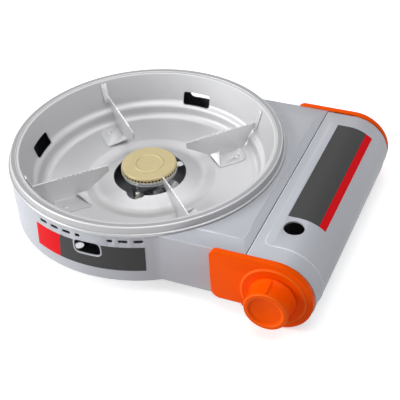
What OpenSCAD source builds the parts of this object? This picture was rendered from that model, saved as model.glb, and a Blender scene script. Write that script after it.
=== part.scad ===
// Portable gas stove: a round wind-shield bowl over a low burner, and a gas cartridge lying in a
// covered bay beside it. The working frame has its origin on the burner axis at the casing's lower
// edge, X towards the cartridge bay, Y to the back and Z up; place() moves it to the part's frame.

/* [Casing] */
// Outer radius of the round drum under the bowl
drum_r = 143; // [138:0.5:148]
// Height of the deck above the casing's lower edge
deck_z = 54.8; // [53:0.1:58]
// Front to back size of the casing
casing_depth = 249.2; // [246:0.2:256]
// Distance from the side of the drum to the right edge of the deck
deck_reach = 13; // [11:0.5:19]
// Thickness of the casing's sheet
wall_t = 1.2; // [0.8:0.1:1.5]
// Depth of the tray pressed into the base plate
tray_h = 8; // [7.5:0.5:10]
// Distance that the tray's wall stands in from the drum's wall
tray_inset = 15; // [14:1:18]
// Height of the casing's lower edge above the table
lift = 20.5; // [20:0.5:24]
// Radius of a foot
foot_r = 9; // [7:0.5:11]

// Height of the raised field pressed into the deck
deck_field_h = 0.6; // [0.3:0.1:1]

/* [Wind shield ring and bowl] */
// Height of the ring's flat top above the deck
ring_h = 9.8; // [9:0.2:12]
// Distance that the ring's outer top corner stands in from the side of the drum
ring_inset = 2.7; // [2:0.1:3.5]
// Radius of the bead round the foot of the ring
bead_r = 1.5; // [1.2:0.1:1.8]
// Distance that the bowl's lip stands in from the side of the drum
lip_inset = 11.3; // [11:0.1:14]
// Thickness of the bowl's sheet
bowl_t = 1.0; // [0.8:0.1:1.2]
// Height of the bowl's floor
floor_z = 17.5; // [17:0.1:19]
// Radius of the opening round the burner
opening_r = 38.5; // [37:0.1:40]
// Radius of the notch in the opening that clears the igniter
notch_r = 11.5; // [10:0.5:12]
// Width of the slots in the bowl's wall
slot_w = 32; // [24:1:34]
// Height of the slots in the bowl's wall
slot_h = 13.5; // [10:0.5:15]

/* [Pan supports] */
// Height of the pan supports' top edges
support_z = 47.5; // [46:0.1:50]
// Radius at the inner tips of the pan supports
support_in = 43.5; // [42:0.5:48]
// Thickness of the pan supports' sheet
support_t = 1.2; // [1:0.1:1.6]
// Width of a pan support's foot
support_foot_w = 22; // [16:1:24]
// Width of the tab that a pan support has against the bowl's wall
support_tab_w = 6; // [4:0.5:8]

/* [Burner] */
// Radius of the burner cap
cap_r = 29.3; // [28:0.1:30]
// Height of the burner cap's top
cap_z = 35.3; // [35:0.1:37]
// Number of flame ports round the burner cap
ports = 50; // [30:2:60]
// Outer radius of the mixing tube
tube_r = 8; // [7:0.5:8.5]
// Distance from the end of the gas jet to the partition, along X
jet_inset = 14.8; // [13:0.2:18]
// Direction of the mixing tube round the burner axis, in degrees
tube_a = -33; // [-36:1:-31]

/* [Cartridge bay] */
// Radius of the gas cartridge that the bay takes
cartridge_r = 33.5; // [33:0.1:34]
// Clearance between the cartridge and its cradle
cartridge_gap = 0.9; // [0.6:0.1:1.2]
// Thickness of the cradle's sheet
cradle_t = 1.0; // [0.8:0.1:1.2]
// Clearance between the cradle and the lid
lid_gap = 0.6; // [0.5:0.1:1]
// Thickness of the lid's sheet
lid_t = 1.2; // [0.8:0.1:1.4]
// Height of the raised field pressed into the lid
field_h = 0.8; // [0.4:0.1:1]
// Distance of the cartridge axis from the right edge of the deck
bay_offset = 30; // [29.5:0.5:32]
// Radius of the finger hole in the lid
finger_r = 9.9; // [8:0.1:11]

/* [Covers and knob] */
// Radius of the round end of the two plastic covers
cover_r = 37.9; // [37.7:0.1:38.4]
// Distance from the right edge of the deck to the covers' left edges
cover_reach = 33.4; // [30:0.2:36]
// Thickness of the front cover in front of the casing
front_cover_t = 4.4; // [4:0.2:6]
// Thickness of the rear cover behind the casing
rear_cover_t = 3.8; // [3.4:0.2:6]
// Radius of the knob
knob_r = 21.2; // [18:0.2:22]
// Length of the knob in front of the front cover
knob_len = 22.6; // [18:0.2:24]
// Radius of the raised skirt round the knob
skirt_r = 32.6; // [31:0.2:34]
// Radius of the knob's spindle
spindle_r = 3; // [2.5:0.1:3.5]

/* [Front of the drum] */
// Width of the sight window
window_w = 27.5; // [24:0.5:30]
// Height of the sight window
window_h = 15.2; // [13:0.2:16]
// Height of the middle of the sight window
window_z = 35.9; // [35:0.1:37]
// Width of one vent slot
vent_w = 9.4; // [7:0.1:10]
// Height of one vent slot
vent_h = 3.6; // [2:0.1:4]

/* [Hidden] */
$fn = 96;
arc_steps = 6;
fit_gap = 0.3;
seat_gap = 0.1;
run_gap = 0.05;

half_d = casing_depth / 2;
inner_d = half_d - wall_t;
seam_gap = 0.4;
half_chord = sqrt(drum_r * drum_r - half_d * half_d);
chord_a = acos(half_chord / drum_r);
deck_end = drum_r + deck_reach;
ring_r = drum_r - ring_inset;
lip_r = drum_r - lip_inset;
base_screw_angles = [-135, -180, 135, chord_a + 1.4, -chord_a - 1.4];

// Cartridge bay, from the cartridge outwards
cradle_in = cartridge_r + cartridge_gap;
cradle_out = cradle_in + cradle_t;
lid_in = cradle_out + lid_gap;
lid_r = lid_in + lid_t;
bay_x = deck_end + bay_offset;
bay_z = deck_z - lid_r;
plate_t = 1.2;
plate_r = cradle_out;
plate_y = inner_d - plate_t;
lid_half = plate_y - fit_gap;
lid_low_a = -40;
hinge_r = 2.2;
hinge_x = deck_end + seam_gap + hinge_r;
hinge_z = deck_z - hinge_r;
rod_r = 1.2;
field_half = 103.5;
field_left = hinge_x + 7.5;
field_round = 8;
finger_x = bay_x - 0.3;
finger_y = -73.4;

// Partition between the burner and the cartridge
wall_x = bay_x - cradle_out - 1.6;
partition_t = 1.0;
notch_y = -92;
notch_z = 27;

// Covers
knob_x = bay_x - 1.2;
knob_z = bay_z + 0.8;
cover_top = knob_z + cover_r;
cover_low = -1;
cover_left = deck_end - cover_reach;
lip_y = half_d - 1.3;
pocket_y = half_d + seat_gap;
skin_t = 2;
front_y = half_d + front_cover_t;
rear_y = half_d + rear_cover_t;
skirt_h = 1.5;
knob_gap = 0.6;
knob_y = front_y + knob_len;

// Ring and bowl
ring_top = deck_z + ring_h;
ring_t = 1.0;
bead_out = drum_r + 0.6;
bead_c = bead_out - bead_r;
ledge_r = lip_r + 1.2;
ledge_out = lip_r + 2.9;
ledge_z = ring_top - 1.6;
lip_z = ledge_z + seat_gap + bowl_t;
deck_hole_r = ledge_out + 0.3;
shoulder_r = lip_r - 9.8;
shoulder_z = lip_z - 30.1;
step_r = shoulder_r - 5;
step_z = shoulder_z - 4;
wall_foot_r = step_r - 3.7;
crest_r = opening_r + 30.5;
valley_r = opening_r + 18.5;
valley_z = floor_z - 4;
mound_z = floor_z + 4.1;
slot_z = shoulder_z + 4.4;
notch_x = 0.7;
notch_c = -opening_r + 6.4;
slot_angles = [89, 185.3];

// Base plate
tray_r = drum_r - tray_inset;
tray_t = 1.0;
tray_end = wall_x - 4;
tray_half = half_d - tray_inset + 2;
foot_h = lift - tray_h - tray_t;
foot_back = tray_r - 50;
foot_side = tray_half - 19.6;
foot_places = [[-foot_back, foot_back], [-foot_back, -foot_back], [tray_end - 27, foot_side],
    [tray_end - 27, -foot_side]];

// Burner
port_w = 1.7;
port_z = cap_z - 3.5;
cap_skirt = 5;
head_z = cap_z - cap_skirt;
neck_r = 10.5;
tube_z = tray_t + 1.4 - tray_h + tube_r;
tube_wall = 1.2;
mouth_r = tube_r + 1.5;
jet_gap = 3;
jet_len = 17;
tube_len = (wall_x - jet_inset) / cos(tube_a) - jet_gap - jet_len;
electrode_x = 1.5;
electrode_y = -(cap_r + 4.2);
electrode_top = cap_z - 5;

// Regulator, along Y from the front plate inwards
reg_r = 13;
reg_y0 = -plate_y;
reg_y1 = reg_y0 + 32;
bore_r = spindle_r + run_gap;
gland_r = 6.2;
gland_y1 = reg_y0 + 12;
disc_r = 5.5;
disc_y0 = gland_y1 + 3;
disc_t = 3;
cavity_y1 = disc_y0 + disc_t + 4;
pin_r = 1.5;
pin_travel = 1.5;
yoke_r = 21;
yoke_t = 1.5;
magnet_in = 13;
magnet_out = 18;
magnet_t = 4;
socket_r = 10;
socket_len = 8;
socket_bore = 5.5;
dome_r = 14;
dome_z0 = knob_z + 16;
dome_y = reg_y0 + 17.6;
dome_in = 7.5;
dome_screw_r = 11.6;

// Whole part in its own frame
x_low = -bead_out;
x_high = bay_x + lid_r + field_h;
y_low = -knob_y;
y_high = bead_out;

// ---- Helpers ----

function unit(v) = v / norm(v);

// Points of an arc of radius r that rounds the corner b between a and c
function corner(a, b, c, r) =
    let (u = unit(a - b), v = unit(c - b), half = acos(max(-1, min(1, u * v))) / 2)
    let (p = b + u * r / tan(half), q = b + v * r / tan(half), m = b + unit(u + v) * r / sin(half))
    let (a0 = atan2(p[1] - m[1], p[0] - m[0]), a1 = atan2(q[1] - m[1], q[0] - m[0]))
    let (turn = (a1 - a0 + 540) % 360 - 180)
    [for (i = [0 : arc_steps]) m + r * [cos(a0 + turn * i / arc_steps), sin(a0 + turn * i / arc_steps)]];

// A line through [x, z, corner radius] points, with its corners rounded
function rounded(pts) = [for (i = [0 : len(pts) - 1])
    let (b = [pts[i][0], pts[i][1]])
    each (i == 0 || i == len(pts) - 1 || pts[i][2] == 0 ? [b]
        : corner([pts[i - 1][0], pts[i - 1][1]], b, [pts[i + 1][0], pts[i + 1][1]], pts[i][2]))];

// Direction across a line at its point i, scaled to keep the sheet's thickness
function across(path, i) =
    let (n = len(path) - 1)
    let (d0 = unit(i > 0 ? path[i] - path[i - 1] : path[1] - path[0]))
    let (d1 = unit(i < n ? path[i + 1] - path[i] : path[n] - path[n - 1]))
    let (m = unit([-d0[1] - d1[1], d0[0] + d1[0]]))
    m / (m * [-d0[1], d0[0]]);

// Outline of a bent sheet of thickness t beside a line
function sheet(path, t) = concat(path, [for (i = [len(path) - 1 : -1 : 0]) path[i] + t * across(path, i)]);

module place() {
    translate([-(x_low + x_high) / 2, -(y_low + y_high) / 2, lift]) children();
}

// Extrudes an X-Z outline from y0 to y1
module along_y(y0, y1) {
    translate([0, y1, 0]) rotate([90, 0, 0]) linear_extrude(y1 - y0) children();
}

// Turns a radius and length outline about an axis that points to the front from y0
module turned_y(x, z, y0) {
    translate([x, y0, z]) rotate([90, 0, 0]) rotate_extrude() children();
}

// A round bar along Y
module bar_y(x, z, r, y0, y1) {
    along_y(y0, y1) translate([x, z]) circle(r);
}

module rounded_rect(w, h, r) {
    square([w - 2 * r, h], center = true);
    square([w, h - 2 * r], center = true);
    for (sx = [-1, 1], sz = [-1, 1]) translate([sx * (w / 2 - r), sz * (h / 2 - r)]) circle(r, $fn = 32);
}

// A prism pointing away from the burner axis at an angle and a height
module radial(angle, z, r0, r1) {
    rotate([0, 0, angle]) translate([r0, 0, z]) rotate([90, 0, 90]) linear_extrude(r1 - r0) children();
}

// Puts children in a frame at p with its X and Y along two square unit vectors
module in_frame(p, x, y) {
    z = cross(x, y);
    multmatrix([[x[0], y[0], z[0], p[0]], [x[1], y[1], z[1], p[1]], [x[2], y[2], z[2], p[2]], [0, 0, 0, 1]])
        children();
}

// Radius of the ball at a bend of a rod, which covers where its two runs cross
function bend_r(a, b, c, r) = r / cos(acos(unit(b - a) * unit(c - b)) / 2) + 0.12;

// A round rod through a list of points, swaged a little thicker at each bend
module rod_path(pts, r) {
    for (i = [0 : len(pts) - 2]) {
        run = pts[i + 1] - pts[i];
        translate(pts[i]) rotate([0, acos(run[2] / norm(run)), atan2(run[1], run[0])])
            cylinder(h = norm(run), r = r, $fn = 48);
        if (i > 0) translate(pts[i]) sphere(bend_r(pts[i - 1], pts[i], pts[i + 1], r), $fn = 28);
    }
}

// A flat three-cornered plate of thickness t
module corner_plate(a, b, c, t) {
    x = unit(b - a);
    y = unit(cross(cross(x, c - a), x));
    in_frame(a, x, y) linear_extrude(t, center = true)
        polygon([[0, 0], [norm(b - a), 0], [(c - a) * x, (c - a) * y]]);
}

// A pan head screw along +Z from its seat, with a cross recess
module screw(r, length) {
    difference() {
        union() {
            cylinder(h = r * 1.2, r = r * 1.9, $fn = 32);
            translate([0, 0, -length]) cylinder(h = length + 0.1, r = r, $fn = 24);
        }
        for (a = [0, 90]) rotate([0, 0, a])
            translate([-r * 1.1, -r * 0.25, r * 0.5]) cube([r * 2.2, r * 0.5, r]);
    }
}

// ---- Casing and base ----

module casing_outline(inset) {
    circle(drum_r - inset);
    translate([0, -half_d + inset]) square([deck_end, 2 * (half_d - inset)]);
}

module vent_row(angle) {
    for (i = [0 : 7])
        if (i != 4) {
            side = i == 3 ? -1 : 1;
            part = i == 3 || i == 5 ? 0.58 : 1;
            turn = i == 3 || i == 5 ? side * vent_w * 0.21 / drum_r * 180 / PI : 0;
            radial(angle - 20.4 + i * 5.89 + turn, deck_z - 5.8, drum_r - 4, drum_r + 2)
                rounded_rect(vent_w * part, vent_h, vent_h / 2 - 0.2);
        }
}

// The pressed field between the ring and the right edge of the deck
module deck_field() {
    translate([0, 0, deck_z - wall_t / 2]) linear_extrude(deck_field_h + wall_t / 2) difference() {
        union() {
            translate([70, -field_half]) square([deck_end - 8 - 5 - 70, 2 * field_half]);
            translate([deck_end - 14, -field_half + 5]) square([6, 2 * field_half - 10]);
            for (s = [-1, 1]) translate([deck_end - 13, s * (field_half - 5)]) circle(5, $fn = 48);
        }
        circle(drum_r + 2);
    }
}

// Tabs that the base plate is screwed to
module base_tabs() {
    for (a = base_screw_angles) rotate([0, 0, a]) translate([tray_r + 1, -6, tray_t])
        cube([drum_r - tray_r - 1.4, 12, wall_t]);
}

module casing() color([0.70, 0.71, 0.74]) place() {
    difference() {
        union() {
            linear_extrude(deck_z) casing_outline(0);
            deck_field();
            for (a = [-89, 90]) intersection() {
                radial(a, window_z, drum_r - 8, drum_r + 4) rounded_rect(window_w + 2.6, window_h + 2.6, 6);
                cylinder(h = deck_z, r = drum_r + 0.5);
            }
        }
        difference() {
            translate([0, 0, -1]) linear_extrude(deck_z - wall_t + 1) casing_outline(wall_t);
            translate([deck_end - wall_t, -plate_y, deck_z - 9]) cube([wall_t, 2 * plate_y, 9]);
            base_tabs();
        }
        for (a = base_screw_angles) rotate([0, 0, a]) translate([tray_r + 7, 0, 0]) cylinder(h = 5, r = 1.6);
        for (p = concat(plate_screw_places, [cover_screw_places[0]]))
            bar_y(p[0], p[1], 1.6, -half_d - 1, half_d + 1);
        translate([deck_end - wall_t - 1, -inner_d, -1]) cube([wall_t + 2, 2 * inner_d, deck_z - 8]);
        translate([0, 0, deck_z - 5]) cylinder(h = 10, r = deck_hole_r);
        vent_row(-89);
        vent_row(90);
        for (a = [-89, 90]) radial(a, window_z, drum_r - 8, drum_r + 4) rounded_rect(window_w, window_h, 5);
        for (s = [-1, 1]) translate([half_chord + 0.6, s * half_d, deck_z]) rotate([45, 0, 0])
            translate([0, -0.7, -0.7]) cube([deck_end, 1.4, 1.4]);
    }
}

module base_outline(inset) {
    circle(drum_r - wall_t - 0.2 - inset);
    translate([0, -inner_d + 0.2 + inset])
        square([wall_x + partition_t - inset, 2 * (inner_d - 0.2 - inset)]);
}

module tray_outline(inset) {
    circle(tray_r - inset);
    translate([0, -tray_half + inset]) square([tray_end - inset, 2 * (tray_half - inset)]);
}

module base_plate() color([0.66, 0.67, 0.70]) place() {
    difference() {
        union() {
            linear_extrude(tray_t) base_outline(0);
            translate([0, 0, -tray_h - tray_t]) linear_extrude(tray_h + 2 * tray_t) tray_outline(0);
        }
        translate([0, 0, -tray_h]) linear_extrude(tray_h + 2 * tray_t) tray_outline(tray_t);
        for (i = [0 : 11]) rotate([0, 0, -110 + 30 * i]) translate([tray_r - 22.5, 0, -20])
            cylinder(h = 40, r = 5);
        for (i = [0 : 7]) rotate([0, 0, 86 + 45 * i]) translate([62, 0, -20]) cylinder(h = 40, r = 5);
        for (p = foot_places) translate([p[0], p[1], -20]) cylinder(h = 40, r = 2.1);
        for (a = base_screw_angles) rotate([0, 0, a])
            translate([tray_r + 7, 0, -5]) cylinder(h = 10, r = 1.6);
    }
}

module base_screws() color([0.55, 0.55, 0.57]) place()
    for (a = base_screw_angles) rotate([0, 0, a]) translate([tray_r + 7, 0, 0]) rotate([180, 0, 0])
        screw(1.5, 4);

module feet() color([0.13, 0.13, 0.14]) place()
    for (p = foot_places) translate([p[0], p[1], -lift]) difference() {
        rotate_extrude() polygon(concat([[0, 0]],
            rounded([[0, 0, 0], [foot_r - 1, 0, 1.2], [foot_r, foot_h, 0]]), [[0, foot_h]]));
        translate([0, 0, -1]) cylinder(h = 4.5, r = 4.4);
        cylinder(h = foot_h * 3, r = 2.1, center = true);
    }

module foot_screws() color([0.55, 0.55, 0.57]) place()
    for (p = foot_places) translate([p[0], p[1], -lift + 3.5]) rotate([180, 0, 0]) screw(2, foot_h);

ring_path = rounded([[ledge_r, ledge_z, 0], [ledge_out, ledge_z, 0], [ledge_out, ring_top, 1.2],
    [ring_r, ring_top, 1.6], [bead_c - 0.25, deck_z + 2 * bead_r, 0]]);

module wind_ring() color([0.72, 0.72, 0.73]) place() rotate_extrude() polygon(concat(ring_path,
    [for (a = [75 : -15 : -90]) [bead_c + bead_r * cos(a), deck_z + bead_r + bead_r * sin(a)]],
    [[bead_c - 3, deck_z], [bead_c - 3, deck_z + ring_t], [bead_c - 1.4, deck_z + ring_t]],
    [for (i = [len(ring_path) - 1 : -1 : 0]) ring_path[i] - ring_t * across(ring_path, i)]));

// ---- Bowl and pan supports ----

bowl_points = [[lip_r + 2.6, lip_z, 0], [lip_r, lip_z, 1.3], [shoulder_r, shoulder_z, 8],
    [step_r, step_z, 8], [wall_foot_r, floor_z, 9], [crest_r, floor_z, 30], [valley_r, valley_z, 15],
    [opening_r + 2.2, mound_z - 0.6, 2.2], [opening_r, mound_z + 0.4, 0]];

module bowl() color([0.78, 0.78, 0.79]) place() difference() {
    rotate_extrude() polygon(sheet(rounded(bowl_points), bowl_t));
    translate([notch_x, notch_c, 0]) cylinder(h = 60, r = notch_r);
    for (a = slot_angles) radial(a, slot_z, step_r - 8, drum_r) rounded_rect(slot_w, slot_h, 2.5);
    for (s = support_list) support_place(s) translate([rivet_u, s[1] * support_foot_w * 0.55, floor_z - 5])
        cylinder(h = 10, r = 1.6);
}

// Direction of each support, and the side that its foot is bent to
support_list = [[46.8, -1], [136.3, 1], [224.7, 1], [316, 1]];
foot_out = wall_foot_r - 7.2;
foot_in = foot_out - 24;
foot_round = 11;
rivet_u = foot_out - 9.6;
teeth = 8;
teeth_in = 59;
teeth_out = foot_out - 7;

module support_place(s) rotate([0, 0, s[0]]) children();

function tooth_points() = [for (i = [0 : 2 * teeth])
    [teeth_out - (teeth_out - teeth_in) * i / (2 * teeth), support_z - (i % 2 == 0 ? 1.1 : 0)]];

// Radius of the bowl's wall at a height above its shoulder
function wall_at(z) = shoulder_r + (z - shoulder_z) * (lip_r - shoulder_r) / (lip_z - shoulder_z);

module support(s) {
    tab_low = shoulder_z + 6.5;
    tab_top = lip_z - 2.6;
    gap = 0.6;
    support_place(s) {
        translate([0, support_t / 2, 0]) rotate([90, 0, 0]) linear_extrude(support_t) polygon(concat(
            [[support_in, support_z - 1.1], [support_in, support_z - 8], [foot_in - 12, floor_z + 3.8],
                [foot_in, floor_z], [foot_out, floor_z], [wall_foot_r - 1.4, floor_z + 5.5],
                [step_r - 1.4, step_z + 0.6], [wall_at(tab_low) - gap - 1.6, tab_low],
                [wall_at(tab_low) - gap, tab_low], [wall_at(support_z) - gap, support_z],
                [wall_at(support_z) - gap - 2, support_z - 1.1]],
            tooth_points()));
        translate([0, s[1] > 0 ? support_tab_w : 0, 0]) rotate([90, 0, 0])
            linear_extrude(support_tab_w) polygon([
            [wall_at(tab_low) - gap - support_t - 0.1, tab_low], [wall_at(tab_low) - gap, tab_low],
            [wall_at(tab_top) - gap, tab_top], [wall_at(tab_top) - gap - support_t - 0.1, tab_top]]);
        translate([0, 0, floor_z]) linear_extrude(support_t) difference() {
            polygon(concat([[foot_in, 0], [foot_in - 10.5, s[1] * support_foot_w]], corner(
                [foot_in, s[1] * support_foot_w], [foot_out, s[1] * support_foot_w],
                [foot_out, 0], foot_round), [[foot_out, 0]]));
            translate([rivet_u, s[1] * support_foot_w * 0.55]) circle(1.6);
        }
        corner_plate([foot_in - 1, 0, floor_z + 4.6], [foot_in - 12, 0, floor_z + 4.5],
            [foot_in - 10.4, s[1] * (support_foot_w - 0.6), floor_z + 0.6], support_t);
    }
}

module support_back_right() color([0.80, 0.80, 0.81]) place() support(support_list[0]);
module support_back_left() color([0.80, 0.80, 0.81]) place() support(support_list[1]);
module support_front_left() color([0.80, 0.80, 0.81]) place() support(support_list[2]);
module support_front_right() color([0.80, 0.80, 0.81]) place() support(support_list[3]);

module support_rivets() color([0.62, 0.62, 0.63]) place()
    for (s = support_list) support_place(s) translate([rivet_u, s[1] * support_foot_w * 0.55, 0]) {
        translate([0, 0, floor_z + support_t]) cylinder(h = 0.9, r1 = 3, r2 = 2.2, $fn = 32);
        translate([0, 0, floor_z - bowl_t - 1]) cylinder(h = 2.2 + bowl_t + support_t, r = 1.55);
        translate([0, 0, floor_z - bowl_t - 0.9]) cylinder(h = 0.9, r = 2.6, $fn = 32);
    }

// ---- Burner ----

module burner_cap() color([0.78, 0.70, 0.48]) place() difference() {
    union() {
        rotate_extrude() polygon(concat([[0, cap_z]], rounded([[0, cap_z, 0], [cap_r - 1, cap_z, 1],
            [cap_r, cap_z - 1.8, 0], [cap_r, head_z, 0]]),
            [[cap_r - 2.2, head_z], [cap_r - 2.2, cap_z - 2], [0, cap_z - 2]]));
        translate([0, 0, cap_z]) rotate_extrude() translate([cap_r / 2, 0]) polygon(
            [[-1, -0.2], [-0.6, 0.35], [0, 0.55], [0.6, 0.35], [1, -0.2]]);
    }
    for (i = [0 : ports - 1]) rotate([0, 0, i * 360 / ports])
        translate([cap_r - 4, -port_w / 2, port_z - port_w / 2])
        cube([8, port_w, port_w]);
}

module burner_head() color([0.74, 0.74, 0.75]) place() difference() {
    union() {
        rotate_extrude() polygon(concat([[0, tube_z - tube_r]], rounded([[neck_r, tube_z - tube_r, 0],
            [neck_r, head_z - 14, 3], [cap_r - 5, head_z - 8.5, 1.5], [cap_r - 3.4, head_z - 6.2, 0.6],
            [cap_r - 0.8, head_z - 5.7, 0.4], [cap_r - 0.6, head_z - 4.4, 0.3],
            [cap_r - 2.4, head_z - 4.1, 0.3], [cap_r - 2.2, head_z - 2.8, 0.3],
            [cap_r + 0.3, head_z - 2.4, 0.4],
            [cap_r + 0.3, head_z, 0]]), [[0, head_z]]));
        rotate([0, 0, tube_a]) translate([0, 0, tube_z])
            rotate([0, 90, 0]) cylinder(h = neck_r + 8, r = tube_r + 1);
    }
    translate([0, 0, head_z - 4]) cylinder(h = 6, r = cap_r - 5);
    translate([0, 0, tube_z]) cylinder(h = head_z, r = neck_r - 2.5);
    rotate([0, 0, tube_a]) translate([0, 0, tube_z])
        rotate([0, 90, 0]) cylinder(h = 60, r = tube_r - tube_wall);
    rotate([0, 0, tube_a]) translate([neck_r + 2, 0, tube_z])
        rotate([0, 90, 0]) cylinder(h = 60, r = tube_r + run_gap);
}

module mixing_tube() color([0.66, 0.66, 0.68]) place()
    rotate([0, 0, tube_a]) translate([neck_r + 2.2, 0, tube_z]) rotate([0, 90, 0]) difference() {
        rotate_extrude() polygon(sheet(rounded([[tube_r, 0, 0], [tube_r, 40, 20], [tube_r - 2, 62, 20],
            [tube_r - 2, 84, 20], [tube_r, 104, 12], [mouth_r, tube_len - neck_r - 2.2, 0]]), tube_wall));
        translate([-tube_r * 3, 0, tube_len - neck_r - 16]) rotate([-90, 0, 0]) translate([0, 0, -20])
            cylinder(h = 40, r = 4.5, $fn = 32);
    }

// Bridge that carries the burner head, square to the mixing tube
bracket_x = 19;
bracket_w = 13;
strap_z = 12.8;
strap_t = 1.4;

module bracket_place() rotate([0, 0, tube_a + 90]) children();

module burner_bracket() color([0.60, 0.60, 0.62]) place() bracket_place() difference() {
    union() {
        translate([-34, -bracket_w / 2, -tray_h]) cube([68, bracket_w, 1.2]);
        for (s = [-1, 1]) translate([s * bracket_x - 0.75, -bracket_w / 2, -tray_h])
            cube([1.5, bracket_w, strap_z + strap_t + tray_h]);
        translate([-bracket_x - 0.75, -neck_r - 3, strap_z])
            cube([2 * bracket_x + 1.5, 2 * neck_r + 6, strap_t]);
    }
    translate([0, 0, strap_z - 2]) cylinder(h = 6, r = neck_r + seat_gap);
    for (s = [-1, 1]) translate([s * 28, 0, -20]) cylinder(h = 20, r = 1.6);
}

module bracket_screws() color([0.55, 0.55, 0.57]) place() bracket_place()
    for (s = [-1, 1]) translate([s * 28, 0, -tray_h + 1.2]) screw(1.5, 1.1);

module gas_jet() color([0.76, 0.66, 0.40]) place()
    rotate([0, 0, tube_a]) translate([tube_len + jet_gap, 0, tube_z]) rotate([0, 90, 0]) {
        cylinder(h = 6, r1 = 1.6, r2 = 3);
        translate([0, 0, 5]) cylinder(h = jet_len - 5, r = 3);
        translate([0, 0, 7]) cylinder(h = 5, r = 5, $fn = 6);
    }

module jet_bracket() color([0.60, 0.60, 0.62]) place()
    rotate([0, 0, tube_a]) difference() {
        union() {
            translate([tube_len + jet_gap + 12.1, -9, -tray_h]) cube([1.2, 18, tube_z + tray_h + 7]);
            translate([tube_len + jet_gap + 4.4, -9, -tray_h]) cube([8.9, 18, 1.2]);
        }
        translate([tube_len, 0, tube_z]) rotate([0, 90, 0]) cylinder(h = 40, r = 3 + seat_gap);
    }

// Gas pipe from the regulator to the jet, and the lead from the igniter to the electrode
jet_end = (tube_len + jet_gap + jet_len) * [cos(tube_a), sin(tube_a)];
pipe_r = 2.2;
pipe_start = [knob_x - 10, reg_y0 + 14, knob_z - 5];
pipe_points = [pipe_start, [wall_x + 8, reg_y0 + 14, knob_z - 5], [wall_x - 3, reg_y0 + 16, 4],
    [jet_end[0] + 4, jet_end[1] - 2.6, tube_z], [jet_end[0] - 0.5, jet_end[1] + 0.3, tube_z]];
piezo_x = bay_x - 28.5;
piezo_z = bay_z - 1;
lead_r = 1.2;
lead_x = wall_x - 19;
lead_y = reg_y0 + 17;
lead_z = piezo_z + 5;
lead_low = 0.8;
lead_route = [[lead_x, lead_y, 0], [wall_x - 63, 26.4 - half_d, 20], [48, -76, 20], [18, -56, 20],
    [electrode_x + 1, electrode_y - 10, 8], [electrode_x, electrode_y, 0]];
lead_line = rounded(lead_route);

module gas_pipe() color([0.74, 0.60, 0.42]) place() rod_path(pipe_points, pipe_r);

// The lead lies along the tray, with a riser at each end
module ignition_lead() color([0.12, 0.12, 0.13]) place() {
    translate([0, 0, lead_low]) linear_extrude(2 * lead_r)
        polygon(concat([for (i = [0 : len(lead_line) - 1]) lead_line[i] - lead_r * across(lead_line, i)],
            [for (i = [len(lead_line) - 1 : -1 : 0]) lead_line[i] + lead_r * across(lead_line, i)]));
    translate([lead_x, lead_y, lead_low + 0.2])
        cylinder(h = lead_z - lead_low - 0.2, r = lead_r - 0.05, $fn = 48);
    translate([lead_x, lead_y, lead_z]) sphere(lead_r * sqrt(2) + 0.1, $fn = 28);
    translate([lead_x, lead_y, lead_z]) rotate([0, 90, 0])
        cylinder(h = piezo_x + 3 - lead_x, r = lead_r, $fn = 48);
    translate([electrode_x, electrode_y, lead_low + 0.2])
        cylinder(h = 8.1 - lead_low - 0.2, r = lead_r - 0.05, $fn = 48);
}

module electrode_ceramic() color([0.93, 0.92, 0.88]) place() translate([electrode_x, electrode_y, 0])
    rotate_extrude() polygon([[0, 8.2], [2, 8.2], [2, 12], [2.9, 12.4], [2.9, 14.6], [2.3, 15], [2.3, 20.4],
        [1.4, 21.4], [0, 21.4]]);

module electrode_pin() color([0.70, 0.70, 0.72]) place() rod_path([[electrode_x, electrode_y, 21.4],
    [electrode_x, electrode_y, electrode_top], [electrode_x, electrode_y + 2.6, electrode_top + 1.4]], 0.7);

module electrode_bracket() color([0.62, 0.62, 0.64]) place() difference() {
    union() {
        translate([electrode_x - 5, electrode_y - 5, 10.9]) cube([10, 14, 1]);
        translate([electrode_x - 5, electrode_y + 8, -tray_h]) cube([10, 1, 11 + tray_h]);
        translate([electrode_x - 5, electrode_y + 8, -tray_h]) cube([10, 7, 1]);
    }
    translate([electrode_x, electrode_y, 0]) cylinder(h = 30, r = 2.1);
}

module heat_strip() color([0.80, 0.80, 0.82]) place() along_y(-7, 7) polygon(sheet(rounded([
    [neck_r + 0.5, strap_z - 0.1, 0], [26, strap_z - 0.1, 3], [36, 5, 4], [wall_x - 6, 5, 4],
    [wall_x - 1.4, 12, 3], [wall_x - 1.4, 40, 0]]), -1.2));

// ---- Cartridge bay ----

module partition() color([0.64, 0.65, 0.67]) place() difference() {
    translate([wall_x, -plate_y, tray_t]) cube([partition_t, 2 * plate_y, deck_z - wall_t - tray_t]);
    translate([wall_x - 1, -plate_y - 1, tray_t - 1]) cube([3, plate_y + notch_y + 1, notch_z + 1]);
    for (y = [-60, -20, 20, 60]) translate([wall_x - 1, y, 44]) rotate([0, 90, 0]) cylinder(h = 4, r = 3.5);
}

module plate_outline() {
    translate([deck_end - 26, tray_t]) square([26, deck_z - wall_t - tray_t - 0.2]);
    translate([deck_end + 0.2, tray_t]) square([hinge_x - deck_end + 4.5, deck_z - tray_t - 0.2]);
    translate([deck_end, bay_z]) square([bay_offset, plate_r]);
    translate([bay_x, bay_z]) circle(plate_r);
}

plate_screw_places = [[deck_end - 21, 42], [deck_end - 21, 10]];
cover_screw_places = [[deck_end - 14, 30], [bay_x + 24, bay_z + 8]];

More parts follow.
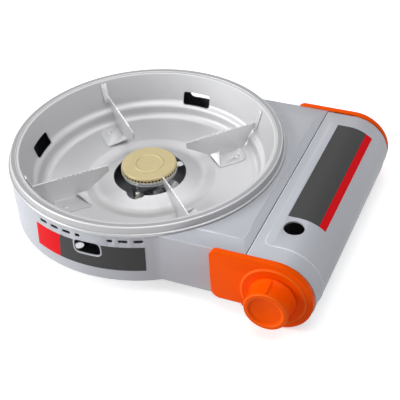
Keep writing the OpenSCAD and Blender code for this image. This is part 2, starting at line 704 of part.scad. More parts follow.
module end_plate(side) {
    difference() {
        along_y(side > 0 ? plate_y : -inner_d, side > 0 ? inner_d : -plate_y) plate_outline();
        bar_y(hinge_x, hinge_z, rod_r + run_gap, -half_d, half_d);
        for (p = plate_screw_places) bar_y(p[0], p[1], 1.6, -half_d, half_d);
        for (p = cover_screw_places) bar_y(p[0], p[1], 1.6, -half_d, half_d);
        if (side < 0) bar_y(knob_x, knob_z, 8, -half_d, 0);
        if (side < 0) for (a = [45, 135, 225, 315])
            bar_y(knob_x + 10.4 * cos(a), knob_z + 10.4 * sin(a), 1.3, -half_d, 0);
    }
}

module front_plate() color([0.62, 0.63, 0.65]) place() end_plate(-1);
module rear_plate() color([0.62, 0.63, 0.65]) place() end_plate(1);

module plate_screws() color([0.55, 0.55, 0.57]) place() {
    for (s = [-1, 1], p = plate_screw_places) translate([p[0], s * plate_y, p[1]]) rotate([s * 90, 0, 0])
        screw(1.5, plate_t + wall_t + 0.8);
    for (a = [45, 135, 225, 315]) translate([knob_x + 10.4 * cos(a), -inner_d, knob_z + 10.4 * sin(a)])
        rotate([90, 0, 0]) screw(1.25, 6);
}

// An arc of a sheet in the X-Z plane about the cartridge axis, from angle a0 to a1
function bay_arc(r, a0, a1, steps) = [for (i = [0 : steps]) let (a = a0 + (a1 - a0) * i / steps)
    [bay_x, bay_z] + r * [cos(a), sin(a)]];

module bay_sector(r0, r1, a0, a1) {
    difference() {
        intersection() {
            translate([bay_x, bay_z]) circle(r1);
            polygon(concat([[bay_x, bay_z]], bay_arc(r1 * 1.5, a0, a1, 8)));
        }
        translate([bay_x, bay_z]) circle(r0);
    }
}

module cradle() color([0.66, 0.67, 0.69]) place() difference() {
    along_y(-plate_y, plate_y) {
        bay_sector(cradle_in, cradle_out, -190, -20);
        bay_sector(cradle_out - 0.3, lid_r - 0.2, -44.5, -42.5);
        translate([wall_x + partition_t, bay_z + 5]) square([1.6, 1.2]);
    }
    translate([wall_x - 5, -plate_y - 1, bay_z - 22]) cube([16, plate_y + notch_y + 1, 40]);
    for (y = [-50, 0, 50], a = [-98, -62]) translate([bay_x, y, bay_z]) rotate([0, 90 - a, 0])
        cylinder(h = 60, r = 5);
}

module regulator_body() color([0.58, 0.59, 0.60]) place() difference() {
    union() {
        bar_y(knob_x, knob_z, reg_r, reg_y0, reg_y1);
        bar_y(bay_x, bay_z, reg_r - 1, reg_y1 - 8, reg_y1);
        translate([knob_x, dome_y, knob_z]) cylinder(h = dome_z0 - knob_z, r = 8);
        translate([knob_x, dome_y, dome_z0 - 3]) cylinder(h = 3, r = dome_r);
    }
    bar_y(knob_x, knob_z, gland_r, reg_y0 - 1, cavity_y1);
    bar_y(bay_x, bay_z, pin_r + run_gap, cavity_y1 - 1, reg_y1 + 1);
    for (a = [45, 135, 225, 315])
        translate([knob_x + dome_screw_r * cos(a), dome_y + dome_screw_r * sin(a), dome_z0 - 4])
        cylinder(h = 6, r = 1.3);
    for (a = [45, 135, 225, 315])
        bar_y(knob_x + 10.4 * cos(a), knob_z + 10.4 * sin(a), 1.3, reg_y0 - 1, reg_y0 + 7);
    translate(pipe_start) rotate([0, -90, 0]) cylinder(h = 20, r = pipe_r + 0.1, $fn = 24);
}

module regulator_dome() color([0.70, 0.70, 0.72]) place() translate([knob_x, dome_y, dome_z0]) difference() {
    rotate_extrude() polygon(concat([[0, 0]], rounded([
        [dome_r, 0, 0], [dome_r, 1.6, 0.4], [dome_in + 1.5, 1.6, 0.3],
        [dome_in, 6, 2], [3, 6.6, 0.6], [2.6, 8, 0.4], [0, 8, 0]])));
    for (a = [45, 135, 225, 315]) rotate([0, 0, a]) translate([dome_screw_r, 0, -1]) cylinder(h = 5, r = 1.3);
}

module regulator_screws() color([0.55, 0.55, 0.57]) place()
    for (a = [45, 135, 225, 315]) translate([knob_x, dome_y, dome_z0 + 1.6]) rotate([0, 0, a])
        translate([dome_screw_r, 0, 0])
        screw(1.2, 4);

module spindle_gland() color([0.76, 0.66, 0.40]) place() difference() {
    bar_y(knob_x, knob_z, gland_r - run_gap, reg_y0 - 1.5, gland_y1);
    bar_y(knob_x, knob_z, bore_r, -half_d, gland_y1 + 1);
}

module valve_pin() color([0.72, 0.72, 0.73]) place() {
    bar_y(bay_x, bay_z, pin_r, disc_y0 + disc_t + 0.4, reg_y1 - pin_travel);
    bar_y(bay_x, bay_z, 2.4, disc_y0 + disc_t + 0.4, disc_y0 + disc_t + 1.4);
}

module magnet_yoke() color([0.52, 0.52, 0.54]) place() {
    difference() {
        bar_y(bay_x, bay_z, yoke_r, reg_y1, reg_y1 + yoke_t);
        bar_y(bay_x, bay_z, socket_r - 3, reg_y1 - 1, reg_y1 + yoke_t + 1);
    }
    translate([bay_x - 2, reg_y1 + yoke_t, bay_z + magnet_out + 0.4]) cube([4, magnet_t + 3, 2.2]);
}

module lock_magnets() color([0.30, 0.30, 0.32]) place() difference() {
    bar_y(bay_x, bay_z, magnet_out, reg_y1 + yoke_t, reg_y1 + yoke_t + magnet_t);
    bar_y(bay_x, bay_z, magnet_in, reg_y1, reg_y1 + 20);
    for (a = [0, 90]) translate([bay_x, reg_y1 + 10, bay_z])
        rotate([0, a + 45, 0]) cube([60, 30, 4], center = true);
}

module cartridge_socket() color([0.76, 0.66, 0.40]) place() difference() {
    union() {
        bar_y(bay_x, bay_z, socket_r, reg_y1 + yoke_t, reg_y1 + yoke_t + 1);
        bar_y(bay_x, bay_z, socket_r - 2, reg_y1 + yoke_t, reg_y1 + socket_len);
        bar_y(bay_x, bay_z, socket_r - 3.1, reg_y1, reg_y1 + yoke_t + 0.5);
    }
    bar_y(bay_x, bay_z, socket_bore, reg_y1 + yoke_t + 0.5, reg_y1 + 20);
    bar_y(bay_x, bay_z, pin_r + 0.4, reg_y1 - 1, reg_y1 + 20);
}

module socket_seal() color([0.10, 0.10, 0.11]) place()
    turned_y(bay_x, bay_z, reg_y1 + yoke_t + 1.5) translate([socket_bore - 1.05, 0]) circle(1, $fn = 32);

module piezo_igniter() color([0.20, 0.20, 0.22]) place() difference() {
    translate([piezo_x, reg_y0, piezo_z]) cube([10, 22, 10]);
    translate([piezo_x - 1, lead_y, lead_z]) rotate([0, 90, 0])
        cylinder(h = 5, r = lead_r + 0.05, $fn = 24);
}

// ---- Knob ----

module knob_spindle() color([0.66, 0.66, 0.68]) place() {
    difference() {
        bar_y(knob_x, knob_z, spindle_r, -knob_y + 6, disc_y0 + 1);
        translate([knob_x - 5, -knob_y + 5, knob_z + spindle_r - 0.8]) cube([10, 12, 4]);
    }
    bar_y(knob_x, knob_z, disc_r, disc_y0, disc_y0 + disc_t);
}

knob_back = knob_len - knob_gap;

module knob() color([1.0, 0.33, 0.04]) place() difference() {
    union() {
        turned_y(knob_x, knob_z, -front_y - skirt_h * 0.4 - knob_gap)
            polygon(concat([[0, 0]], rounded([[knob_r + 1.2, 0, 0],
            [knob_r + 1.2, 1.5, 0.6], [knob_r - 0.4, 5, 3], [knob_r - 0.2, knob_back - 6, 6],
            [knob_r, knob_back - 0.6, 1.6], [knob_r - 4, knob_back - 0.6, 1],
            [knob_r - 6.2, knob_back - 1.8, 2],
            [4, knob_back - 3, 6], [0, knob_back - 3, 0]])));
        translate([knob_x - 1.3, -knob_y + 2.6, knob_z + knob_r - 2]) cube([2.6, knob_len - 5, 3.1]);
    }
    bar_y(knob_x, knob_z, spindle_r + run_gap, -knob_y + 6 - run_gap, 0);
    turned_y(knob_x, knob_z, -front_y + 2) polygon([[spindle_r + 2.5, 0], [knob_r - 2.2, 0],
        [knob_r - 3.4, knob_back - 4], [spindle_r + 2.5, knob_back - 6]]);
}

// ---- Covers, lid and labels ----

module cover_outline(inset) {
    r_top = 7;
    r_low = 9;
    x0 = cover_left + inset;
    z0 = cover_low + inset;
    z1 = cover_top - inset;
    translate([x0 + r_low, z0]) square([knob_x - x0 - r_low, z1 - z0]);
    translate([x0, z0 + r_low]) square([r_low + 1, z1 - z0 - r_low - r_top]);
    translate([x0 + r_low, z0 + r_low]) circle(r_low, $fn = 48);
    translate([x0 + r_top, z1 - r_top]) circle(r_top, $fn = 48);
    translate([x0 + r_top, z1 - 2 * r_top]) square([r_low, 2 * r_top]);
    translate([knob_x, knob_z]) circle(cover_r - inset);
}

// The casing's end and the end plate, which a cover fits over
module cover_pocket() {
    translate([cover_left - 10, -fit_gap / 2]) square([bay_x - cover_left + 10, deck_z + fit_gap]);
    translate([bay_x, bay_z]) circle(plate_r + fit_gap / 2);
}

module front_cover() color([1.0, 0.33, 0.04]) place() difference() {
    union() {
        along_y(-front_y, -lip_y) cover_outline(0);
        turned_y(knob_x, knob_z, -front_y + 0.5) polygon(rounded([[10, 0, 0], [skirt_r, 0, 0],
            [skirt_r, 0.5, 0], [skirt_r - 1.8, skirt_h + 0.5, 1.5], [knob_r + 3.4, skirt_h * 0.4 + 0.5, 1.5],
            [10, skirt_h * 0.4 + 0.5, 0]]));
    }
    along_y(-pocket_y, 0) cover_pocket();
    along_y(-front_y + skin_t, -half_d + 1) intersection() {
        cover_outline(skin_t);
        cover_pocket();
    }
    bar_y(knob_x, knob_z, spindle_r + 2, -front_y - 5, 0);
    for (p = cover_screw_places) bar_y(p[0], p[1], 1.3, -front_y + 1.2, 0);
}

module rear_cover() color([1.0, 0.33, 0.04]) place() difference() {
    along_y(lip_y, rear_y) cover_outline(0);
    along_y(0, pocket_y) cover_pocket();
    along_y(half_d - 1, rear_y - skin_t) intersection() {
        cover_outline(skin_t);
        cover_pocket();
    }
    for (p = cover_screw_places) bar_y(p[0], p[1], 1.6, 0, rear_y + 5);
}

module cover_screws() color([0.55, 0.55, 0.57]) place() {
    for (p = cover_screw_places)
        translate([p[0], rear_y, p[1]]) rotate([-90, 0, 0]) screw(1.5, rear_y - plate_y + 1);
    for (p = cover_screw_places)
        translate([p[0], -plate_y, p[1]]) rotate([-90, 0, 0]) screw(1.2, front_y - plate_y - 2);
}

module hinge_rod() color([0.70, 0.70, 0.72]) place()
    bar_y(hinge_x, hinge_z, rod_r, -half_d + 0.4, half_d - 0.4);

// Cross-section of the lid's skin, raised by a height above the plain skin
module lid_section(rise, low_a) {
    bay_sector(lid_in, lid_r + rise, low_a, 90);
    translate([hinge_x, lid_in + bay_z]) square([bay_x - hinge_x, lid_t + rise]);
}

module lid() color([0.70, 0.71, 0.74]) place() difference() {
    union() {
        along_y(-lid_half, lid_half) {
            lid_section(0, lid_low_a);
            translate([hinge_x, hinge_z]) circle(hinge_r, $fn = 48);
        }
        along_y(-field_half, field_half) bay_sector(lid_r - lid_t / 2, lid_r + field_h, lid_low_a + 3, 90);
        translate([0, 0, deck_z - lid_t / 2]) linear_extrude(field_h + lid_t / 2) {
            translate([field_left + field_round, -field_half])
                square([bay_x - field_left - field_round, 2 * field_half]);
            translate([field_left, -field_half + field_round])
                square([field_round, 2 * (field_half - field_round)]);
            for (s = [-1, 1]) translate([field_left + field_round, s * (field_half - field_round)])
                circle(field_round, $fn = 48);
        }
    }
    bar_y(hinge_x, hinge_z, rod_r + run_gap, -half_d, half_d);
    translate([finger_x, finger_y, bay_z + 10]) cylinder(h = 40, r = finger_r);
}

label_t = 0.3;
label_x0 = field_left + 8.6;
label_low_a = 45.5;
label_y0 = -58.5;
label_y1 = 99;
label_round = 4;

module lid_label() color([0.23, 0.23, 0.23]) place() intersection() {
    along_y(label_y0, label_y1) difference() {
        lid_section(field_h + label_t, label_low_a);
        lid_section(field_h, label_low_a - 5);
        translate([hinge_x - 1, bay_z]) square([label_x0 - hinge_x + 1, lid_r + 10]);
    }
    linear_extrude(deck_z + 10) {
        translate([label_x0, label_y0 + label_round]) square([60, label_y1 - label_y0 - 2 * label_round]);
        translate([label_x0 + label_round, label_y0]) square([60, label_y1 - label_y0]);
        for (y = [label_y0 + label_round, label_y1 - label_round]) translate([label_x0 + label_round, y])
            circle(label_round, $fn = 48);
    }
}

drum_label_z0 = 13;
drum_label_z1 = 41.9;

module drum_label() color([0.23, 0.23, 0.23]) place() difference() {
    rotate([0, 0, -114.9]) rotate_extrude(angle = 48.7) translate([drum_r, drum_label_z0])
        square([label_t, drum_label_z1 - drum_label_z0]);
    radial(-89, window_z, drum_r - 8, drum_r + 4) rounded_rect(window_w + 3.2, window_h + 3.2, 6.3);
}

casing();
base_plate();
base_screws();
feet();
foot_screws();
wind_ring();
bowl();
support_back_right();
support_back_left();
support_front_left();
support_front_right();
support_rivets();
burner_cap();
burner_head();
mixing_tube();
burner_bracket();
bracket_screws();
gas_jet();
jet_bracket();
gas_pipe();
electrode_ceramic();
electrode_pin();
electrode_bracket();
ignition_lead();
heat_strip();
partition();
front_plate();
rear_plate();
plate_screws();
cradle();
regulator_body();
regulator_dome();
regulator_screws();
spindle_gland();
valve_pin();
magnet_yoke();
lock_magnets();
cartridge_socket();
socket_seal();
piezo_igniter();
knob_spindle();
knob();
front_cover();
rear_cover();
cover_screws();
hinge_rod();
lid();
lid_label();
drum_label();
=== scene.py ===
"""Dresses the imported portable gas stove: finer pieces, finishes, floor, light and camera."""

import logging
import math
from collections.abc import Callable
from dataclasses import dataclass, field
from enum import Enum

import bpy
from mathutils import Matrix, Vector


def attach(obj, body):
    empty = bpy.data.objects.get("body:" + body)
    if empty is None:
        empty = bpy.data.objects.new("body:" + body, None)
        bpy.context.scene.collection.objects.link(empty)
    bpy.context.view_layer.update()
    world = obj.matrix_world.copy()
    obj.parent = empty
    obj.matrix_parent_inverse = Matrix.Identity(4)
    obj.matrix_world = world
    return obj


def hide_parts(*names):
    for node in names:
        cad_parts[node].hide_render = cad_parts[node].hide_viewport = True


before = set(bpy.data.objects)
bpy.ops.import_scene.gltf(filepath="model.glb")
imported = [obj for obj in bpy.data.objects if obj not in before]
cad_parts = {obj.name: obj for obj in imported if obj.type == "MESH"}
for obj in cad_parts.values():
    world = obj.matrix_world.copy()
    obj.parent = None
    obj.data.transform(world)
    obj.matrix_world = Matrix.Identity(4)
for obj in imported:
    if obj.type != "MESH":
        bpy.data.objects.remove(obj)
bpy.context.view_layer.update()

logging.basicConfig(level=logging.INFO, format="%(message)s")
log = logging.getLogger("stove")

MM = 0.001
# The CAD source draws from the burner axis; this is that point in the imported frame, in millimetres.
BURNER = Vector((-40.2, 4.0, 20.5))
# Sizes and places that shapes and finishes share, in millimetres about the burner axis.
DECK_TOP = 54.8
DRUM_RADIUS = 143.0
RING_TOP, RING_LEDGE, RING_LIP, RING_OUTER = 64.6, 132.9, 1.7, 140.3
BOWL_FLOOR = 17.5
SUPPORT_TOP = 47.5
LID_HINGE = 158.6
BAY_AXIS = (186.0, 17.6)
KNOB_AXIS = (184.8, 18.4)
Colour = tuple[float, float, float]
Point = tuple[float, float, float]
Flat = tuple[float, float]
Piece = bpy.types.Object
Material = bpy.types.Material


def at(x: float, y: float, z: float) -> Vector:
    """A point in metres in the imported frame, from millimetres about the burner axis."""
    return (Vector((x, y, z)) + BURNER) * MM


# ---------------------------------------------------------------- shader maths


def operator(operation: str, swap: bool = False) -> "Callable[[Value, Value | float], Value]":
    """A method of Value that adds one Math node.

    Args:
        operation: the node's operation.
        swap: whether the other number comes first, as in a reflected operator.

    Returns:
        The method.
    """
    def method(self: "Value", other: "Value | float") -> "Value":
        """This with the other number."""
        inputs = {0: other, 1: self} if swap else {0: self, 1: other}
        return self.graph.node("ShaderNodeMath", {"operation": operation}, inputs)[0]

    return method


class Value:
    """A shader socket that takes part in sums."""

    def __init__(self, graph: "Tree", socket: bpy.types.NodeSocket) -> None:
        """Keeps the graph that the socket is in."""
        self.graph = graph
        self.socket = socket

    __add__, __radd__ = operator("ADD"), operator("ADD", True)
    __sub__, __rsub__ = operator("SUBTRACT"), operator("SUBTRACT", True)
    __mul__, __rmul__ = operator("MULTIPLY"), operator("MULTIPLY", True)
    __truediv__ = operator("DIVIDE")
    most, least = operator("MAXIMUM"), operator("MINIMUM")
    arctan = operator("ARCTAN2")

    def reach(self, other: "Value") -> "Value":
        """The distance that this and another make at right angles."""
        total = self * self + other * other
        return self.graph.node("ShaderNodeMath", {"operation": "SQRT"}, {0: total})[0]

    def step(self, low: float, high: float) -> "Value":
        """A smooth rise from 0 at low to 1 at high.

        Args:
            low: where it starts.
            high: where it ends; lower than low gives a fall.

        Returns:
            The result, from 0 to 1.
        """
        if low > high:
            return 1.0 - self.step(high, low)
        settings = {"interpolation_type": "SMOOTHSTEP"}
        inputs = {"Value": self, "From Min": low, "From Max": high}
        return self.graph.node("ShaderNodeMapRange", settings, inputs)[0]


class Tree:
    """A node tree whose sockets are Values."""

    def __init__(self, tree: bpy.types.NodeTree) -> None:
        """Empties the tree."""
        self.tree = tree
        tree.nodes.clear()

    def node(self, kind: str, settings: dict | None = None,
             inputs: dict | None = None) -> list[Value]:
        """Any node.

        Args:
            kind: the node's type.
            settings: its properties, set before its sockets.
            inputs: values or links of its sockets, by name or number.

        Returns:
            Its outputs.
        """
        made = self.tree.nodes.new(kind)
        for name, value in (settings or {}).items():
            setattr(made, name, value)
        for name, value in (inputs or {}).items():
            self.feed(made.inputs[name], value)
        return [Value(self, s) for s in made.outputs]

    def feed(self, socket: bpy.types.NodeSocket, value: object) -> None:
        """Feeds one socket.

        Args:
            socket: the input.
            value: a Value to link, or a number or colour to set.
        """
        if isinstance(value, Value):
            self.tree.links.new(value.socket, socket)
        elif isinstance(value, tuple) and len(value) == 3 and socket.type == "RGBA":
            socket.default_value = (*value, 1.0)
        else:
            socket.default_value = value

    def show(self, out: bpy.types.Node, light: Value, seen: Value) -> None:
        """Ends the tree in two shaders.

        Args:
            out: the output node.
            light: what lights the stove.
            seen: what the camera, mirrors and glass see.
        """
        rays = self.node("ShaderNodeLightPath")
        straight = rays[0].most(rays[3]).most(rays[6])
        mixed = self.node("ShaderNodeMixShader", {}, {0: straight, 1: light, 2: seen})[0]
        self.feed(out.inputs[0], mixed)


class Graph(Tree):
    """One material's nodes, ending in a Principled shader."""

    def __init__(self, name: str) -> None:
        """An empty material with its output and shader.

        Args:
            name: the material's name.
        """
        self.material = bpy.data.materials.new(name)
        self.material.use_nodes = True
        super().__init__(self.material.node_tree)
        self.out = self.tree.nodes.new("ShaderNodeOutputMaterial")
        self.feed(self.out.inputs[0], self.principled())

    def principled(self) -> Value:
        """A new shader, which finish feeds from now on."""
        self.shader = self.tree.nodes.new("ShaderNodeBsdfPrincipled")
        return Value(self, self.shader.outputs[0])

    def place(self, scale: Point = (1.0, 1.0, 1.0)) -> Value:
        """Object coordinates in millimetres about the burner axis, scaled.

        Args:
            scale: scale along each axis.

        Returns:
            The vector.
        """
        found = self.node("ShaderNodeTexCoord")[3]
        shift = tuple(-BURNER[i] * scale[i] for i in range(3))
        sizes = tuple(1000.0 * s for s in scale)
        inputs = {"Vector": found, "Location": shift, "Scale": sizes}
        return self.node("ShaderNodeMapping", {}, inputs)[0]

    def split(self, vector: Value) -> list[Value]:
        """The three parts of a vector."""
        return self.node("ShaderNodeSeparateXYZ", {}, {0: vector})

    def join(self, x: "Value | float", y: "Value | float", z: "Value | float") -> Value:
        """A vector from three numbers."""
        return self.node("ShaderNodeCombineXYZ", {}, {0: x, 1: y, 2: z})[0]

    def noise(self, scale: float, detail: float, where: Value | None = None) -> Value:
        """Noise from 0 to 1.

        Args:
            scale: cells per millimetre.
            detail: octaves.
            where: coordinates, or the plain ones.

        Returns:
            The noise.
        """
        inputs = {"Vector": where or self.place(), "Scale": scale, "Detail": detail}
        return self.node("ShaderNodeTexNoise", {}, inputs)[0]

    def cells(self, scale: float) -> Value:
        """A flat random number for each cell of a Voronoi pattern."""
        spots = self.node("ShaderNodeTexVoronoi", {}, {"Vector": self.place(), "Scale": scale})[1]
        return self.split(spots)[0]

    def mix(self, factor: "Value | float", first: object, second: object) -> Value:
        """A blend of two colours.

        Args:
            factor: 0 gives the first, 1 the second.
            first: a colour or a Value.
            second: a colour or a Value.

        Returns:
            The colour.
        """
        inputs = {0: factor, 6: first, 7: second}
        return self.node("ShaderNodeMix", {"data_type": "RGBA"}, inputs)[2]

    def tint(self, colour: object, factor: "Value | float") -> Value:
        """A colour made lighter or darker by a factor about 1.

        Args:
            colour: a colour or a Value.
            factor: the number that it is multiplied by.

        Returns:
            The colour.
        """
        grey = self.node("ShaderNodeCombineColor", {}, {0: factor, 1: factor, 2: factor})[0]
        settings = {"data_type": "RGBA", "blend_type": "MULTIPLY"}
        return self.node("ShaderNodeMix", settings, {0: 1.0, 6: colour, 7: grey})[2]

    def bump(self, height: Value, depth: float, strength: float) -> Value:
        """A bumped normal.

        Args:
            height: the relief, from 0 to 1.
            depth: its depth in millimetres.
            strength: how much of it shows.

        Returns:
            The normal.
        """
        inputs = {"Height": height, "Distance": depth * MM, "Strength": strength}
        return self.node("ShaderNodeBump", {}, inputs)[0]

    def finish(self, **sockets: object) -> Material:
        """Feeds the shader.

        Args:
            sockets: what each socket gets; underscores in its name stand for spaces.

        Returns:
            The material.
        """
        for name, value in sockets.items():
            self.feed(self.shader.inputs[name.replace("_", " ")], value)
        return self.material


def around_burner(graph: Graph) -> tuple[Value, Value, Value]:
    """Radius, angle in turns and height about the burner axis, in millimetres."""
    x, y, z = graph.split(graph.place())
    return x.reach(y), y.arctan(x) / math.tau, z


# ---------------------------------------------------------------- finishes


@dataclass(frozen=True)
class Finish:
    """A finish, its record slot and its base colour."""

    name: str
    slot: str
    colour: Colour

    def material(self) -> Material:
        """The finish's material, made once."""
        name = "finish_" + self.name
        return bpy.data.materials.get(name) or self.build(Graph(name))

    def build(self, graph: Graph) -> Material:
        """Fills the material's nodes.

        Args:
            graph: the material's graph.

        Returns:
            The material.
        """
        return graph.finish(Base_Color=self.colour)

    def wear_and_painted_light(self, graph: Graph, colour: Value) -> Value:
        """The colour with wear and painted light laid on, where a finish has them; here as it is.

        Args:
            graph: the material's graph.
            colour: the clean colour.

        Returns:
            The colour to use.
        """
        return colour


@dataclass(frozen=True)
class PaintedSheet(Finish):
    """Baked satin paint on pressed sheet."""

    roughness: float = 0.42
    coat: float = 0.05
    metal: float = 0.0
    shine: float = 0.3
    peel: float = 0.02

    def build(self, graph: Graph) -> Material:
        """Faint mottling, fine orange peel and a few dust specks.

        Args:
            graph: the material's graph.

        Returns:
            The material.
        """
        mottle = graph.noise(0.035, 3)
        flake = graph.noise(3.2, 1)
        skin = graph.noise(0.55, 2)
        specks = graph.noise(1.1, 0).step(0.79, 0.83)
        colour = graph.tint(self.colour, 0.965 + mottle * 0.05 + flake * 0.02 - specks * 0.05)
        rough = self.roughness - 0.05 + mottle * 0.09 + flake * 0.03
        return graph.finish(Base_Color=self.wear_and_painted_light(graph, colour), Roughness=rough,
                            Metallic=self.metal, Coat_Weight=self.coat, Coat_Roughness=0.18,
                            Specular_IOR_Level=self.shine, Normal=graph.bump(skin, self.peel, 0.35))


@dataclass(frozen=True)
class RingCoat(PaintedSheet):
    """The wind ring's coat, with painted highlights along its two corners and its bead and painted
    shade on its flat top.
    """

    inner: float = RING_LEDGE + RING_LIP
    outer: float = RING_OUTER
    top: float = RING_TOP
    bead_drop: float = 6.6
    # Strengths of the painted highlights on the corners and the bead and of the painted shade on the
    # flat top.
    bright: float = 0.6
    dull: float = 0.2
    bead_bright: float = 0.15

    def wear_and_painted_light(self, graph: Graph, colour: Value) -> Value:
        """The colour with painted highlights on its corners and bead and painted shade on the flat
        between them.

        Args:
            graph: the material's graph.
            colour: the clean colour.

        Returns:
            The colour to use.
        """
        radius, _, height = around_burner(graph)
        high = height.step(self.top - 1.5, self.top - 0.7)
        corners = high * radius.step(self.outer - 1.0, self.outer - 0.5).most(
            radius.step(self.inner + 0.9, self.inner + 0.5))
        flat = (high * radius.step(self.inner + 0.8, self.inner + 1.4)
                * radius.step(self.outer - 0.9, self.outer - 1.5))
        bead = height.step(self.top - self.bead_drop, self.top - self.bead_drop - 0.5)
        # Painted highlights on the corners and the bead, painted shade on the flat top.
        shade = 1.0 + corners * self.bright - flat * self.dull + bead * self.bead_bright
        return graph.tint(colour, shade)


class FieldSide(Enum):
    """Which pressed field a painted sheet carries."""

    DECK = "the deck's field beside the ring"
    LID = "the lid's field, which runs round its bend"


@dataclass(frozen=True)
class FieldPaint(PaintedSheet):
    """Satin paint, with a painted highlight along the edge of a pressed field, painted light in the
    hinge seam and, on the casing, painted shade inside.
    """

    side: FieldSide = FieldSide.DECK
    drum: float = DRUM_RADIUS
    deck: float = DECK_TOP
    half_deep: float = 124.6
    hinge: float = LID_HINGE
    bay: Flat = BAY_AXIS
    bend: float = 37.2
    half_field: float = 103.5
    corner: float = 8.0
    deck_margin: float = 10.6
    lid_margin: float = 7.5
    straight: float = 60.0
    # Where the painted light in the hinge seam runs along x, and the near black of the painted shade
    # inside the casing.
    seam: tuple[float, float, float, float] = (154.5, 155.0, 158.0, LID_HINGE)
    inside: Colour = (0.05, 0.05, 0.055)

    def wear_and_painted_light(self, graph: Graph, colour: Value) -> Value:
        """The colour with a painted highlight on the field's edge, painted light in the seam and
        painted shade inside.

        Args:
            graph: the material's graph.
            colour: the clean colour.

        Returns:
            The colour to use.
        """
        x, y, z = graph.split(graph.place())
        wide = y.most(y * -1.0)
        here: Value | float = 1.0
        if self.side is FieldSide.DECK:
            along = x - (self.hinge - self.deck_margin - self.corner)
            here = (x.step(self.straight, self.straight + 2)
                    * z.step(self.deck - 0.3, self.deck - 0.1))
        else:
            turned = (x - self.bay[0]).most(0.0).arctan(z - self.bay[1])
            start = self.hinge + self.lid_margin + self.corner
            along = start - (x.least(self.bay[0]) + turned * self.bend)
        across = wide - (self.half_field - self.corner)
        edge = along.most(0.0).reach(across.most(0.0)) + along.most(across).least(0.0) - self.corner
        # A painted highlight along the field's edge, patchy and strongest towards the front.
        edge_highlight = edge.step(-1.0, -0.5) * edge.step(0.35, 0.05)
        edge_highlight = edge_highlight * graph.noise(0.03, 2).step(0.2, 0.55)
        edge_highlight = edge_highlight * (0.25 + y.step(-70.0, -97.0) * 0.75) * here
        # Painted light in the hinge seam: lighter paint where the groove lies in shade.
        seam = z.step(self.deck - 0.05, self.deck - 0.5) * x.step(*self.seam[:2])
        seam = seam * x.step(*self.seam[:1:-1])
        colour = graph.tint(colour, 1.0 + edge_highlight * 0.5 + seam * 0.8)
        if self.side is FieldSide.LID:
            return colour
        radius, _, _ = around_burner(graph)
        # Painted shade, near black, on the casing's inner faces below the deck.
        inner = radius.step(self.drum - 0.6, self.drum - 0.9).most(
            wide.step(self.half_deep - 0.6, self.half_deep - 0.9)
            * x.step(self.straight, self.straight + 1))
        below = z.step(self.deck - 0.7, self.deck - 1.0)
        return graph.mix(inner * below * 0.9, colour, self.inside)


@dataclass(frozen=True)
class SpunSteel(Finish):
    """Coated steel spun on a former, with faint rings and smudges."""

    roughness: float = 0.36
    metal: float = 0.8
    brushed: float = 0.65
    smoky: Flat = (70.0, 40.0)

    def build(self, graph: Graph) -> Material:
        """Rings about the burner axis, cloudy patches and light scratches.

        Args:
            graph: the material's graph.

        Returns:
            The material.
        """
        radius, angle, height = around_burner(graph)
        rings = graph.noise(1.0, 2, graph.join(radius * 1.4, angle * 2.0, height * 0.9))
        clouds = graph.noise(0.022, 3)
        scuffs = graph.noise(1.0, 2, graph.place((0.03, 0.9, 0.4))).step(0.66, 0.78)
        smoke = radius.step(*self.smoky) * graph.noise(0.09, 3).step(0.3, 0.75)
        shade = 0.955 + clouds * 0.06 + rings * 0.035 - smoke * 0.06
        rough = self.roughness - 0.05 + rings * 0.06 + clouds * 0.07 - scuffs * 0.05
        return graph.finish(Base_Color=graph.tint(self.colour, shade), Roughness=rough,
                            Metallic=self.metal, Anisotropic=self.brushed,
                            Normal=graph.bump(rings, 0.012, 0.30))


@dataclass(frozen=True)
class PressedNickel(Finish):
    """Nickel-plated sheet, with worn edges along the teeth."""

    roughness: float = 0.3
    metal: float = 0.65
    teeth_z: float = SUPPORT_TOP
    heated: Flat = (66.0, 46.0)
    heat_tint: Colour = (0.52, 0.44, 0.36)

    def build(self, graph: Graph) -> Material:
        """Fine scratches, wear at the top and a warm heat tint near the flame.

        Args:
            graph: the material's graph.

        Returns:
            The material.
        """
        radius, _, height = around_burner(graph)
        grain = graph.noise(1.0, 2, graph.place((0.25, 0.25, 2.2)))
        blotch = graph.noise(0.12, 3)
        wear_and_painted_light = (height.step(self.teeth_z - 3.2, self.teeth_z - 0.6)
                * graph.noise(0.5, 2).step(0.35, 0.7))
        heat = radius.step(*self.heated) * blotch.step(0.2, 0.8)
        colour = graph.mix(heat * 0.35, self.colour, self.heat_tint)
        colour = graph.tint(colour, 0.94 + grain * 0.05 + blotch * 0.05 + wear_and_painted_light * 0.4)
        rough = self.roughness + grain * 0.08 - wear_and_painted_light * 0.08
        return graph.finish(Base_Color=colour, Roughness=rough, Metallic=self.metal,
                            Normal=graph.bump(grain, 0.012, 0.35))


